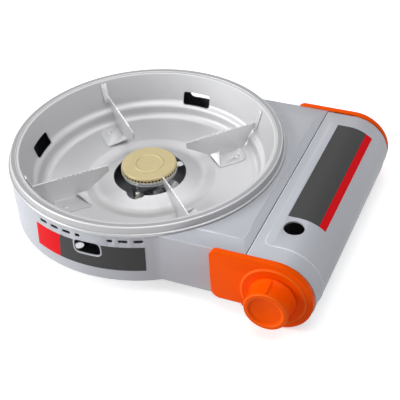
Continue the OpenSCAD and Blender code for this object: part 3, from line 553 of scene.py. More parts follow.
@dataclass(frozen=True)
class TurnedBrass(Finish):
    """Satin brass, turned on a lathe."""

    roughness: float = 0.36
    metal: float = 0.6
    tarnish: Colour = (0.46, 0.36, 0.16)
    # Near black for the ports and the skirt's inside: soot, and painted shade in these hollows.
    soot: Colour = (0.012, 0.011, 0.010)
    warm: Colour = (0.80, 0.60, 0.40)
    skirt: float = 29.2

    def build(self, graph: Graph) -> Material:
        """Turning marks, warm patches, tarnish round the ports, and near black in the ports and
        inside the skirt that is soot and painted shade.

        Args:
            graph: the material's graph.

        Returns:
            The material.
        """
        radius, _, height = around_burner(graph)
        marks = graph.noise(1.0, 1, graph.join(radius * 2.6, 0.0, height * 2.0))
        patch = graph.noise(0.07, 3)
        rim = radius.step(26.5, self.skirt) * height.step(33.8, 32.4)
        # The port walls and the skirt's inside, where soot lies and painted shade is laid.
        ports = radius.step(29.27, self.skirt) * radius.step(24.0, 25.0) * height.step(33.4, 33.1)
        colour = graph.mix(rim * 0.15, self.colour, self.tarnish)
        colour = graph.mix(ports * 0.95, colour, self.soot)
        colour = graph.mix(patch.step(0.45, 0.8) * 0.22, colour, self.warm)
        colour = graph.tint(colour, 0.95 + marks * 0.08)
        return graph.finish(Base_Color=colour, Roughness=self.roughness + marks * 0.08 + rim * 0.1,
                            Metallic=self.metal, Normal=graph.bump(marks, 0.01, 0.4))


@dataclass(frozen=True)
class CastMetal(Finish):
    """Metal as it comes from the mould or the mill."""

    roughness: float = 0.42
    metal: float = 0.8
    grain: float = 1.3
    relief: float = 0.03

    def build(self, graph: Graph) -> Material:
        """Cast skin: fine pits over slow tone changes.

        Args:
            graph: the material's graph.

        Returns:
            The material.
        """
        pits = graph.noise(self.grain, 3)
        tone = graph.noise(0.09, 2)
        shade = 0.9 + tone * 0.12 + pits * 0.06
        return graph.finish(Base_Color=graph.tint(self.colour, shade), Metallic=self.metal,
                            Roughness=self.roughness + pits * 0.12 - tone * 0.05,
                            Normal=graph.bump(pits, self.relief, 0.5))


@dataclass(frozen=True)
class ZincSheet(Finish):
    """Galvanised sheet with its spangle."""

    roughness: float = 0.38
    metal: float = 0.75
    spangle: float = 0.22

    def build(self, graph: Graph) -> Material:
        """Crystal cells of slightly different tone, with rolling lines.

        Args:
            graph: the material's graph.

        Returns:
            The material.
        """
        crystal = graph.cells(self.spangle)
        lines = graph.noise(1.0, 2, graph.place((0.05, 1.6, 1.6)))
        shade = 0.88 + crystal * 0.12 + lines * 0.06
        return graph.finish(Base_Color=graph.tint(self.colour, shade), Metallic=self.metal,
                            Roughness=self.roughness + crystal * 0.12 + lines * 0.05,
                            Normal=graph.bump(lines, 0.01, 0.35))


@dataclass(frozen=True)
class MouldedPlastic(Finish):
    """Injection-moulded plastic with a fine spark-eroded grain."""

    roughness: float = 0.42
    shine: float = 0.08
    grain: float = 2.4

    def build(self, graph: Graph) -> Material:
        """Fine grain, slow flow marks and a few rubbed spots.

        Args:
            graph: the material's graph.

        Returns:
            The material.
        """
        grain = graph.noise(self.grain, 2)
        flow = graph.noise(0.03, 2)
        rub = graph.noise(0.16, 3).step(0.62, 0.75)
        colour = self.wear_and_painted_light(graph, graph.tint(self.colour, 0.97 + flow * 0.05 + grain * 0.01))
        rough = self.roughness + grain * 0.06 + flow * 0.05 - rub * 0.05
        return graph.finish(Base_Color=colour, Roughness=rough, Specular_IOR_Level=self.shine,
                            Normal=graph.bump(grain, 0.014, 0.4))


@dataclass(frozen=True)
class RimHighlightPlastic(MouldedPlastic):
    """Moulded plastic with painted highlights, paler orange, on the rims round the knob's axis."""

    axis: Flat = KNOB_AXIS
    rims: tuple[Point, ...] = ((20.7, -151.3, 1.1), (17.2, -151.4, 0.9), (31.3, -130.2, 1.3))
    # The colour and strength of the painted highlights on the rims.
    pale: Colour = (1.0, 0.26, 0.045)
    highlight_strength: float = 0.34

    def wear_and_painted_light(self, graph: Graph, colour: Value) -> Value:
        """A painted highlight, paler orange, where a rim passes; each rim is a radius, a place along
        the axis and a width.

        Args:
            graph: the material's graph.
            colour: the clean colour.

        Returns:
            The colour to use.
        """
        x, y, z = graph.split(graph.place())
        radius = (x - self.axis[0]).reach(z - self.axis[1])
        pale: Value | None = None
        for rim, depth, width in self.rims:
            out, along = radius - rim, y - depth
            near = (out * out + along * along).step(width * width, 0.0)
            pale = pale.most(near) if pale else near
        # Paler orange on each rim as a painted highlight.
        return graph.mix(pale * self.highlight_strength, colour, self.pale)


@dataclass(frozen=True)
class SoftRubber(Finish):
    """Matt rubber or silicone."""

    roughness: float = 0.75
    dust: Colour = (0.10, 0.10, 0.10)

    def build(self, graph: Graph) -> Material:
        """Dusty bloom over a fine grain.

        Args:
            graph: the material's graph.

        Returns:
            The material.
        """
        grain = graph.noise(1.8, 2)
        bloom = graph.noise(0.12, 3).step(0.4, 0.8)
        return graph.finish(Base_Color=graph.mix(bloom * 0.25, self.colour, self.dust),
                            Roughness=self.roughness + bloom * 0.1 - grain * 0.05,
                            Normal=graph.bump(grain, 0.03, 0.5))


@dataclass(frozen=True)
class GlazedCeramic(Finish):
    """White glazed insulator, browned near its tip."""

    brown: Colour = (0.34, 0.26, 0.20)
    tip: Flat = (16.0, 21.5)

    def build(self, graph: Graph) -> Material:
        """Soot toward the flame and crazing in the glaze.

        Args:
            graph: the material's graph.

        Returns:
            The material.
        """
        _, _, height = around_burner(graph)
        soot = height.step(*self.tip) * graph.noise(0.5, 3).step(0.3, 0.7)
        craze = graph.noise(2.2, 2)
        colour = graph.mix(soot * 0.5, graph.tint(self.colour, 0.95 + craze * 0.05), self.brown)
        return graph.finish(Base_Color=colour, Roughness=0.2 + craze * 0.08, Coat_Weight=0.4)


class LabelSide(Enum):
    """Where a label's red end lies."""

    DRUM = "the drum's left end"
    LID = "the lid's right edge"


@dataclass(frozen=True)
class PrintedLabel(Finish):
    """A charcoal printed label with a red end, without words."""

    side: LabelSide = LabelSide.DRUM
    red: Colour = (0.82, 0.006, 0.012)
    edge: float = 0.0
    lean: float = 0.05
    middle: float = 27.5

    def build(self, graph: Graph) -> Material:
        """Charcoal ink over satin film, with the red end as a hard edge.

        Args:
            graph: the material's graph.

        Returns:
            The material.
        """
        _, angle, height = around_burner(graph)
        x, _, _ = graph.split(graph.place())
        if self.side is LabelSide.DRUM:
            lean = angle - (height - self.middle) * (self.lean / 360)
            mask = lean.step(self.edge / 360 + 0.0001, self.edge / 360 - 0.0001)
        else:
            mask = x.step(self.edge - 0.08, self.edge + 0.08)
        film = graph.noise(0.9, 2)
        ink = graph.noise(5.0, 1)
        char = graph.tint(self.colour, 0.9 + ink * 0.2 + film * 0.08)
        red = graph.tint(self.red, 0.94 + ink * 0.06 + film * 0.04)
        return graph.finish(Base_Color=graph.mix(mask, char, red), Specular_IOR_Level=0.08,
                            Roughness=0.5 + film * 0.1 - ink * 0.04,
                            Normal=graph.bump(film, 0.01, 0.25))


GREY = (0.53, 0.545, 0.59)
PAINT = FieldPaint("casing_paint", "casing_paint", GREY, corner=5.0)
LID_PAINT = FieldPaint("lid_paint", "casing_paint", GREY, side=FieldSide.LID)
RING = RingCoat("ring_coat", "ring_metal", (0.42, 0.42, 0.43), roughness=0.34, coat=0.0, metal=0.5,
                    shine=0.5, peel=0.006)
BOWL = SpunSteel("bowl_steel", "bowl_metal", (0.59, 0.59, 0.60), roughness=0.54, metal=0.5)
NICKEL = PressedNickel("support_nickel", "support_metal", (0.66, 0.66, 0.67), metal=0.55)
BRASS = TurnedBrass("cap_brass", "brass", (0.56, 0.47, 0.25), roughness=0.42, metal=0.45)
JET_BRASS = TurnedBrass("jet_brass", "jet_brass", (0.62, 0.44, 0.17), metal=0.85)
HEAD = CastMetal("head_aluminium", "head_aluminium", (0.74, 0.74, 0.75))
STRIP = CastMetal("strip_aluminium", "head_aluminium", (0.88, 0.88, 0.89), metal=0.4, grain=0.6,
                  relief=0.01)
REGULATOR = CastMetal("regulator_cast", "regulator_cast", (0.40, 0.40, 0.41), grain=0.9)
MAGNET = CastMetal("magnet", "magnet", (0.05, 0.05, 0.055), roughness=0.6, metal=0.2)
COPPER = CastMetal("pipe_copper", "pipe_copper", (0.60, 0.30, 0.17), roughness=0.3, metal=0.9,
                   grain=0.5, relief=0.01)
ZINC = ZincSheet("zinc_sheet", "zinc_sheet", (0.40, 0.41, 0.43))
SCREW = ZincSheet("screw_zinc", "screw_steel", (0.42, 0.42, 0.43), roughness=0.3, spangle=1.2)
ORANGE = RimHighlightPlastic("orange_plastic", "orange_plastic", (1.0, 0.098, 0.0), roughness=0.38,
                       shine=0.05)
BLACK = MouldedPlastic("black_plastic", "black_plastic", (0.02, 0.02, 0.022), roughness=0.5)
FOOT = SoftRubber("foot_rubber", "foot_rubber", (0.02, 0.02, 0.02))
SEAL = SoftRubber("seal_rubber", "seal_rubber", (0.015, 0.015, 0.015), roughness=0.5)
LEAD = SoftRubber("lead_black", "lead_black", (0.02, 0.02, 0.02), roughness=0.55)
CERAMIC = GlazedCeramic("ceramic", "ceramic", (0.80, 0.78, 0.72))
DRUM_PRINT = PrintedLabel("drum_print", "drum_print", (0.066, 0.066, 0.067), side=LabelSide.DRUM,
                          edge=-102.0)
LID_PRINT = PrintedLabel("lid_print", "lid_print", (0.07, 0.07, 0.07), side=LabelSide.LID,
                         edge=205.15)


# ---------------------------------------------------------------- work on meshes


class Bench:
    """The moves that the pieces are made with, in mesh edit mode."""

    @staticmethod
    def clear() -> None:
        """Deselects every object."""
        for item in list(bpy.context.selected_objects):
            item.select_set(False)

    @staticmethod
    def take(piece: Piece) -> None:
        """Makes one piece the active and only selected one.

        Args:
            piece: the piece to work on.
        """
        Bench.clear()
        piece.select_set(True)
        bpy.context.view_layer.objects.active = piece

    @staticmethod
    def edit(piece: Piece) -> None:
        """Opens a piece for editing, with all of it selected.

        Args:
            piece: the piece to open.
        """
        Bench.take(piece)
        bpy.ops.object.mode_set(mode="EDIT")
        bpy.ops.mesh.select_all(action="SELECT")

    @staticmethod
    def close() -> None:
        """Leaves edit mode."""
        bpy.ops.object.mode_set(mode="OBJECT")

    @staticmethod
    def clean(piece: Piece, outward: bool = True) -> Piece:
        """Merges doubled points.

        Args:
            piece: the piece to work on.
            outward: whether its faces are turned outwards too.

        Returns:
            The same piece.
        """
        Bench.edit(piece)
        bpy.ops.mesh.remove_doubles(threshold=2e-6)
        if outward:
            bpy.ops.mesh.normals_make_consistent(inside=False)
        Bench.close()
        return piece

    @staticmethod
    def line(name: str, points: list[Vector]) -> Piece:
        """An outline drawn by extruding one point along.

        Args:
            name: the new piece's name.
            points: places in metres, in order.

        Returns:
            A piece of edges only.
        """
        Bench.clear()
        bpy.ops.mesh.primitive_plane_add(size=MM, location=points[0])
        piece = bpy.context.object
        piece.name = piece.data.name = name
        bpy.ops.object.mode_set(mode="EDIT")
        bpy.ops.mesh.select_all(action="SELECT")
        bpy.ops.mesh.merge(type="CENTER")
        for start, end in zip(points, points[1:]):
            bpy.ops.mesh.extrude_region_move(TRANSFORM_OT_translate={"value": end - start})
        Bench.close()
        bpy.ops.object.transform_apply(location=True, rotation=True, scale=True)
        return piece

    @staticmethod
    def lathe(name: str, points: list[Vector], centre: Vector, axis: Point, steps: int) -> Piece:
        """A turned piece.

        Args:
            name: the new piece's name.
            points: its closed section, in metres.
            centre: a point on the axis.
            axis: the axis's direction.
            steps: faces round it.

        Returns:
            The piece, merged and with its faces outwards.
        """
        piece = Bench.line(name, points + [points[0]])
        Bench.edit(piece)
        bpy.ops.mesh.spin(steps=steps, angle=math.tau, center=centre, axis=axis)
        Bench.close()
        return Bench.clean(piece)

    @staticmethod
    def fill(name: str, points: list[Vector]) -> Piece:
        """A flat outline with its face, left open for editing.

        Args:
            name: the new piece's name.
            points: its outline, in metres.

        Returns:
            The piece, in edit mode.
        """
        piece = Bench.line(name, points + [points[0]])
        Bench.clean(piece, outward=False)
        Bench.edit(piece)
        bpy.ops.mesh.edge_face_add()
        return piece

    @staticmethod
    def slab(name: str, points: list[Vector], push: Vector) -> Piece:
        """A flat outline filled and pulled to a thickness.

        Args:
            name: the new piece's name.
            points: its outline, in metres.
            push: the pull, in metres.

        Returns:
            The piece.
        """
        piece = Bench.fill(name, points)
        bpy.ops.mesh.extrude_region_move(TRANSFORM_OT_translate={"value": push})
        Bench.close()
        return Bench.clean(piece)

    @staticmethod
    def modify(piece: Piece, kind: str, **settings: object) -> Piece:
        """Adds a modifier with its settings and applies it.

        Args:
            piece: the piece to work on.
            kind: the modifier's type.
            settings: its properties.

        Returns:
            The same piece.
        """
        Bench.take(piece)
        made = piece.modifiers.new(kind.lower(), kind)
        for name, value in settings.items():
            setattr(made, name, value)
        bpy.ops.object.modifier_apply(modifier=made.name)
        return piece

    @staticmethod
    def soften(piece: Piece, width: float, angle: float) -> Piece:
        """Rounds a piece's sharper edges.

        Args:
            piece: the piece to work on.
            width: how wide the rounding is, in millimetres.
            angle: how far an edge has to turn, in degrees.

        Returns:
            The same piece.
        """
        return Bench.modify(piece, "BEVEL", width=width * MM, segments=2, limit_method="ANGLE",
                            angle_limit=math.radians(angle), use_clamp_overlap=True,
                            harden_normals=False)

    @staticmethod
    def carve(piece: Piece, other: Piece, operation: str = "DIFFERENCE") -> Piece:
        """Cuts one piece with another, or joins them, and uses the other up.

        Args:
            piece: the piece that stays.
            other: the piece that is used up.
            operation: the Boolean modifier's operation.

        Returns:
            The piece that stays.
        """
        Bench.modify(piece, "BOOLEAN", operation=operation, solver="EXACT", object=other)
        bpy.data.objects.remove(other, do_unlink=True)
        return piece

    @staticmethod
    def weld(piece: Piece, other: Piece) -> Piece:
        """Joins a second piece into the first as one solid."""
        return Bench.carve(piece, other, "UNION")

    @staticmethod
    def smooth(piece: Piece, angle: float) -> Piece:
        """Shades smooth wherever faces meet at less than an angle.

        Args:
            piece: the piece to work on.
            angle: the angle, in degrees.

        Returns:
            The same piece.
        """
        Bench.take(piece)
        bpy.ops.object.shade_smooth_by_angle(angle=math.radians(angle))
        return piece

    @staticmethod
    def copy(node: str, name: str) -> Piece:
        """A merged copy of a CAD node, with its flat faces made whole.

        Args:
            node: the CAD node's name.
            name: the copy's name.

        Returns:
            The copy.
        """
        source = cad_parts[node]
        piece = source.copy()
        piece.data = source.data.copy()
        piece.parent = None
        for key in list(piece.keys()):
            del piece[key]
        piece.name = piece.data.name = name
        bpy.context.scene.collection.objects.link(piece)
        piece.data.materials.clear()
        Bench.edit(piece)
        bpy.ops.mesh.customdata_custom_splitnormals_clear()
        bpy.ops.mesh.remove_doubles(threshold=1e-6)
        bpy.ops.mesh.dissolve_limited(angle_limit=math.radians(0.5))
        Bench.close()
        return piece


def mount(piece: Piece, finish: Finish, body: str, *nodes: str) -> None:
    """Gives a piece its finish and body, and hides what it stands for.

    Args:
        piece: the finished piece.
        finish: its finish.
        body: the body that it moves with.
        nodes: the CAD nodes that it stands for.
    """
    piece.data.materials.clear()
    piece.data.materials.append(finish.material())
    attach(piece, body)
    if nodes:
        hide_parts(*nodes)
    log.info("piece %s on %s: %d faces", piece.name, body, len(piece.data.polygons))


def dress(node: str, finish: Finish) -> None:
    """Gives a CAD node a new finish in its own slots.

    Args:
        node: the CAD node's name.
        finish: its finish.
    """
    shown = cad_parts[node]
    for index in range(max(1, len(shown.material_slots))):
        if index < len(shown.material_slots):
            shown.material_slots[index].material = finish.material()
        else:
            shown.data.materials.append(finish.material())
    log.info("node %s finished in %s", node, finish.name)


def bearing(angle: float) -> Matrix:
    """A turn about the upright, in degrees."""
    return Matrix.Rotation(math.radians(angle), 3, "Z")


def aside(turn: Matrix, u: float, v: float, z: float) -> Vector:
    """A point in metres, along, across and above a bearing from the burner axis."""
    return at(*(turn @ Vector((u, v, z))))


def arc(centre: Flat, radius: float, start: float, end: float, steps: int) -> list[Flat]:
    """Points of an arc, in degrees."""
    turn = [math.radians(start + (end - start) * i / steps) for i in range(steps + 1)]
    return [(centre[0] + radius * math.cos(t), centre[1] + radius * math.sin(t)) for t in turn]


def oblong(wide: float, high: float, corner: float, steps: int) -> list[Flat]:
    """A rectangle about 0 with rounded corners of some steps each.

    Args:
        wide: its width.
        high: its height.
        corner: the corners' radius.
        steps: faces in each corner.

    Returns:
        Its points.
    """
    w, h = wide / 2 - corner, high / 2 - corner
    return [p for cx, cz, a in ((w, h, 0), (-w, h, 90), (-w, -h, 180), (w, -h, 270))
            for p in arc((cx, cz), corner, a, a + 90, steps)]


def rounded(points: list[Point], steps: int) -> list[Flat]:
    """A line whose corners are rounded.

    Args:
        points: x, z and corner radius of each point.
        steps: faces in each corner.

    Returns:
        The line's points.
    """
    line: list[Flat] = []
    for i, (x, z, radius) in enumerate(points):
        if radius == 0 or i in (0, len(points) - 1):
            line.append((x, z))
            continue
        here = Vector((x, z))
        back = (Vector(points[i - 1][:2]) - here).normalized()
        ahead = (Vector(points[i + 1][:2]) - here).normalized()
        half = back.angle(ahead) / 2
        middle = here + (back + ahead).normalized() * (radius / math.sin(half))
        first = here + back * (radius / math.tan(half)) - middle
        last = here + ahead * (radius / math.tan(half)) - middle
        start = math.atan2(first.y, first.x)
        turn = (math.atan2(last.y, last.x) - start + 3 * math.pi) % math.tau - math.pi
        for k in range(steps + 1):
            angle = start + turn * k / steps
            line.append((middle.x + radius * math.cos(angle), middle.y + radius * math.sin(angle)))
    return line


# ---------------------------------------------------------------- wind ring and bowl


@dataclass
class WindRing:
    """The coated ring round the bowl, turned from one section with its bead."""

    ledge: float = RING_LEDGE
    top: float = RING_TOP
    outer: float = RING_OUTER
    bead_centre: float = 142.1
    bead: float = 1.5
    deck: float = DECK_TOP
    thick: float = 1.0
    lip: Flat = (RING_LIP, 1.6)

    def section(self) -> list[Vector]:
        """The closed section, in metres.

        Returns:
            Its points.
        """
        t, centre = self.thick, self.bead_centre
        inner, low = self.ledge + self.lip[0], self.top - self.lip[1]
        crest = self.deck + 2 * self.bead
        skin = rounded([(self.ledge, low, 0), (inner, low, 0), (inner, self.top, 0.5),
                        (self.outer, self.top, 0.8), (centre - 0.25, crest, 0)], 7)
        roll = arc((centre, self.deck + self.bead), self.bead, 75, -25, 10)
        foot = [(centre + self.bead * 0.9, self.deck), (centre - 3, self.deck),
                (centre - 3, self.deck + t), (centre - 1.5, self.deck + t)]
        back = rounded([(centre - 1.25, crest - 0.3, 0), (self.outer - t + 0.15, self.top - t, 0.2),
                        (inner + t, self.top - t, 0.2), (inner + t, low - t, 0.3),
                        (self.ledge, low - t, 0)], 4)
        return [at(r, 0, z) for r, z in skin + roll + foot + back]

    def build(self) -> None:
        """Turns the section round the burner axis."""
        piece = Bench.lathe("wind_ring_skin", self.section(), at(0, 0, 0), (0, 0, 1), 180)
        mount(Bench.smooth(piece, 35), RING, "stove", "wind_ring")


@dataclass
class SlotCut:
    """One slot through the bowl's wall."""

    angle: float
    width: float = 32.0
    height: float = 13.5
    middle: float = 38.4
    corner: float = 2.5
    start: float = 104.0
    reach: float = 34.0

    def cutter(self) -> Piece:
        """A rounded bar pointing outwards through the wall.

        Returns:
            The bar.
        """
        turn = bearing(self.angle)
        points = [aside(turn, self.start, -u, self.middle + v)
                  for u, v in oblong(self.width, self.height, self.corner, 6)]
        return Bench.slab("slot_cut", points, turn @ Vector((self.reach * MM, 0, 0)))


@dataclass
class Bowl:
    """The spun drip bowl, with its igniter notch and the slots in its wall."""

    thick: float = 1.0
    opening: float = 38.5
    notch: Point = (0.7, -32.1, 11.5)
    wall: tuple[Point, ...] = ((134.3, 64.1, 0), (131.7, 64.1, 1.3), (121.9, 34.0, 8.0),
                               (116.9, 30.0, 8.0))
    floor: tuple[Point, ...] = ((113.2, BOWL_FLOOR, 9.0), (69.0, BOWL_FLOOR, 8.0),
                                (57.0, 13.5, 14.0))
    slots: list[SlotCut] = field(default_factory=lambda: [SlotCut(89.0), SlotCut(185.3)])

    def section(self) -> list[Vector]:
        """The closed section, upper side first.

        Returns:
            Its points, in metres.
        """
        rim = (self.opening + 2.2, 21.0, 2.2), (self.opening, 22.0, 0)
        line = [Vector(p) for p in rounded([*self.wall, *self.floor, *rim], 9)]
        under = []
        for i, here in enumerate(line):
            along = (line[min(i + 1, len(line) - 1)] - line[max(i - 1, 0)]).normalized()
            under.append(here + Vector((-along.y, along.x)) * self.thick)
        return [at(p.x, 0, p.y) for p in line + under[::-1]]

    def build(self) -> None:
        """Turns the bowl, cuts it and rounds the cut edges."""
        piece = Bench.lathe("bowl_skin", self.section(), at(0, 0, 0), (0, 0, 1), 180)
        x, y, r = self.notch
        ring = [at(px, py, 0) for px, py in arc((x, y), r, 0, 350, 35)]
        Bench.carve(piece, Bench.slab("notch_cut", ring, Vector((0, 0, 60 * MM))))
        for slot in self.slots:
            Bench.carve(piece, slot.cutter())
        mount(Bench.smooth(Bench.clean(piece), 35), BOWL, "bowl", "bowl")


# ---------------------------------------------------------------- pan supports


@dataclass
class PanSupport:
    """One folded-sheet support: serrated plate, wall tab, bent foot and gusset."""

    name: str
    angle: float
    side: int
    thick: float = 1.2
    top: float = SUPPORT_TOP
    inner: float = 43.5
    teeth: int = 8
    first: float = 59.0
    last: float = 99.0
    depth: float = 1.1
    foot_in: float = 82.0
    foot_out: float = 106.0
    foot_wide: float = 22.0
    floor: float = BOWL_FLOOR
    gap: float = 0.6
    tab_wide: float = 6.0
    tab_low: float = 40.5
    tab_high: float = 61.5
    slit: Point = (84.0, 104.0, 1.1)
    rivet: Point = (96.4, 12.1, 1.6)
    slant: float = 10.5

    def wall(self, z: float) -> float:
        """Radius of the bowl's wall at a height."""
        (outer, high, _), (inner, low, _) = Bowl.wall[1:3]
        return inner + (z - low) * (outer - inner) / (high - low)

    def spot(self, u: float, v: float, z: float) -> Vector:
        """A point along the support, across it and up."""
        return aside(bearing(self.angle), u, v, z)

    def push(self, u: float, v: float, z: float) -> Vector:
        """A shift in the support's own directions, in metres."""
        return self.spot(u, v, z) - self.spot(0, 0, 0)

    def plate(self) -> Piece:
        """The upright plate with its teeth.

        Returns:
            The plate.
        """
        low, valley, base = self.tab_low, self.top - self.depth, self.floor + 0.05
        near, far = self.wall(low) - self.gap, self.wall(self.top) - self.gap
        edge = rounded([(self.inner, valley, 0), (self.inner, self.top - 8, 1.0),
                        (self.foot_in - 12, self.floor + 3.8, 2.0), (self.foot_in, base, 0.8),
                        (self.foot_out, base, 0.3), (111.8, self.floor + 5.5, 1.0),
                        (115.5, 30.6, 1.0), (near - 1.6, low, 0.5), (near, low, 0.3),
                        (far, self.top, 0.6), (far - 2, valley, 0.4),
                        (self.last + 0.4, valley, 0)], 4)
        pitch = (self.last - self.first) / self.teeth
        for i in range(self.teeth):
            start = self.last - i * pitch
            edge += [(start - 0.18 * pitch, valley), (start - 0.42 * pitch, self.top),
                     (start - 0.62 * pitch, self.top), (start - 0.86 * pitch, valley)]
        points = [self.spot(u, -self.thick / 2, z) for u, z in edge]
        plate = Bench.slab(self.name, points, self.push(0, self.thick, 0))
        low = self.floor + self.thick + 0.05
        start, end, high = self.slit
        slit = rounded([(start, low, 0), (start, low + high, 0.5), (end, low + high, 0.5),
                        (end, low, 0)], 3)
        cut = Bench.slab("slit_cut", [self.spot(u, -4, z) for u, z in slit], self.push(0, 8, 0))
        return Bench.carve(plate, cut)

    def foot(self) -> Piece:
        """The foot bent from the plate's lower edge, with its rivet hole.

        Returns:
            The foot.
        """
        wide = self.side * self.foot_wide
        edge = rounded([(self.foot_in, 0, 0), (self.foot_in - self.slant, wide, 1.5),
                        (self.foot_out, wide, 11), (self.foot_out, 0, 0)], 8)
        outline = [self.spot(u, v, self.floor + 0.05) for u, v in edge]
        piece = Bench.slab(self.name + "_foot", outline, self.push(0, 0, self.thick))
        along, across, radius = self.rivet
        ring = arc((along, self.side * across), radius, 0, 345, 23)
        hole = [self.spot(u, v, self.floor - 3) for u, v in ring]
        return Bench.carve(piece, Bench.slab("rivet_cut", hole, Vector((0, 0, 8 * MM))))

    def tab(self) -> Piece:
        """The tab that lies against the bowl's wall.

        Returns:
            The tab.
        """
        low, high, back = self.tab_low, self.tab_high, self.thick + 0.1
        near, far = self.wall(low) - self.gap, self.wall(high) - self.gap
        edge = [(near - back, low), (near, low), (far, high), (far - back, high)]
        return Bench.slab(self.name + "_tab", [self.spot(u, 0, z) for u, z in edge],
                          self.push(0, self.side * self.tab_wide, 0))

    def gusset(self) -> Piece:
        """The three-cornered web between plate and foot.

        Returns:
            The web.
        """
        a = self.spot(self.foot_in - 1, 0, self.floor + 4.6)
        b = self.spot(self.foot_in - 12, 0, self.floor + 4.5)
        c = self.spot(self.foot_in - 10.4, self.side * (self.foot_wide - 0.6), self.floor + 0.65)
        normal = (b - a).cross(c - a).normalized() * self.thick * MM
        return Bench.slab(self.name + "_web", [p - normal / 2 for p in (a, b, c)], normal)

    def build(self) -> None:
        """Joins the parts, softens their edges and mounts the support."""
        piece = self.plate()
        for part in (self.foot(), self.tab(), self.gusset()):
            Bench.weld(piece, part)
        Bench.clean(piece)
        Bench.soften(piece, 0.22, 35)
        mount(Bench.smooth(piece, 40), NICKEL, "bowl", self.name.replace("_sheet", ""))


# ---------------------------------------------------------------- burner cap


@dataclass
class BurnerCap:
    """The brass cap: flame ports round its skirt and a raised ring on top."""

    radius: float = 29.3
    top: float = 35.3
    skirt: float = 5.0
    ports: int = 50
    port: float = 2.1
    ring: float = 14.65
    ring_wide: float = 1.6
    ring_high: float = 0.8
    wall: float = 2.2
    bevel: float = 0.3

    def section(self) -> list[Vector]:
        """The section from the middle of the top out, down and back inside.

        Returns:
            Its points, in metres.
        """
        r, z = self.radius, self.top
        turns = [math.pi * i / 8 for i in range(8, -1, -1)]
        rise = [(self.ring + self.ring_wide * math.cos(t), z + self.ring_high * math.sin(t))
                for t in turns]
        edge = rounded([(self.ring + self.ring_wide + 0.1, z, 0), (r - 0.9, z, 0.9),
                        (r, z - 1.8, 0.4), (r, z - self.skirt, 0)], 6)
        inside = [(r - self.wall, z - self.skirt), (r - self.wall, z - 2), (0.05, z - 2)]
        return [at(x, 0, h) for x, h in [(0.05, z)] + rise + edge + inside]

    def build(self) -> None:
        """Turns the cap and cuts its ports in one go."""
        piece = Bench.lathe("burner_cap_turned", self.section(), at(0, 0, 0), (0, 0, 1), 200)
        half, low, b = self.port / 2, self.top - 3.5 - self.port / 2, self.bevel
        edge = rounded([(-half, -half, 0), (half, -half, b), (half, half, b), (-half, half, b),
                        (-half, -half + 0.1, 0)], 2)
        cutter = None
        for i in range(self.ports):
            turn = Matrix.Rotation(math.tau * i / self.ports, 3, "Z")
            points = [aside(turn, self.radius - 4, u, low + half + v) for u, v in edge]
            port = Bench.slab("port_cut", points, turn @ Vector((8 * MM, 0, 0)))
            if cutter is None:
                cutter = port
            else:
                Bench.take(cutter)
                port.select_set(True)
                bpy.ops.object.join()
                cutter = bpy.context.object
        Bench.carve(piece, cutter)
        mount(Bench.smooth(Bench.clean(piece), 35), BRASS, "stove", "burner_cap")


# ---------------------------------------------------------------- knob and covers


@dataclass
class Knob:
    """The orange knob: a flared base, a dished face in a raised rim and a pointer rib."""

    x: float = KNOB_AXIS[0]
    z: float = KNOB_AXIS[1]
    base: float = -130.2
    end: float = -151.6
    radius: float = 21.2
    rib: float = 2.6
    rib_long: float = 16.0

    def build(self) -> None:
        """Turns the body about the spindle's axis and welds the rib on."""
        r, back, front = self.radius, self.base, self.end
        outline = rounded([(0.05, back, 0), (r + 1.2, back, 0), (r + 1.2, back - 1.5, 0.6),
                           (r - 0.4, back - 5, 3), (r - 0.2, front + 6, 6), (r, front, 1.7),
                           (r - 4, front, 1.1), (r - 6.2, front + 1.8, 2), (4, front + 3, 6),
                           (0.05, front + 3, 0)], 8)
        points = [at(self.x + u, y, self.z) for u, y in outline]
        piece = Bench.lathe("knob_moulded", points, at(self.x, 0, self.z), (0, 1, 0), 128)
        half = self.rib / 2
        edge = rounded([(-half, r - 2, 0), (-half, r + 1.1, 0.8), (half, r + 1.1, 0.8),
                        (half, r - 2, 0)], 4)
        bar = Bench.slab("knob_rib", [at(self.x + u, front + 2.6, self.z + v) for u, v in edge],
                         Vector((0, self.rib_long * MM, 0)))
        Bench.weld(piece, bar)
        Bench.clean(piece)
        Bench.soften(piece, 0.3, 50)
        mount(Bench.smooth(piece, 40), ORANGE, "knob", "knob")


@dataclass
class DressedNode:
    """A CAD node's shape with its edges softened."""

    node: str
    finish: Finish
    body: str
    width: float
    angle: float = 40.0
    smooth: float = 35.0

    def build(self) -> None:
        """Copies, bevels and shades the node's shape, and stands for it."""
        piece = Bench.copy(self.node, self.node + "_dressed")
        Bench.soften(piece, self.width, self.angle)
        mount(Bench.smooth(piece, self.smooth), self.finish, self.body, self.node)


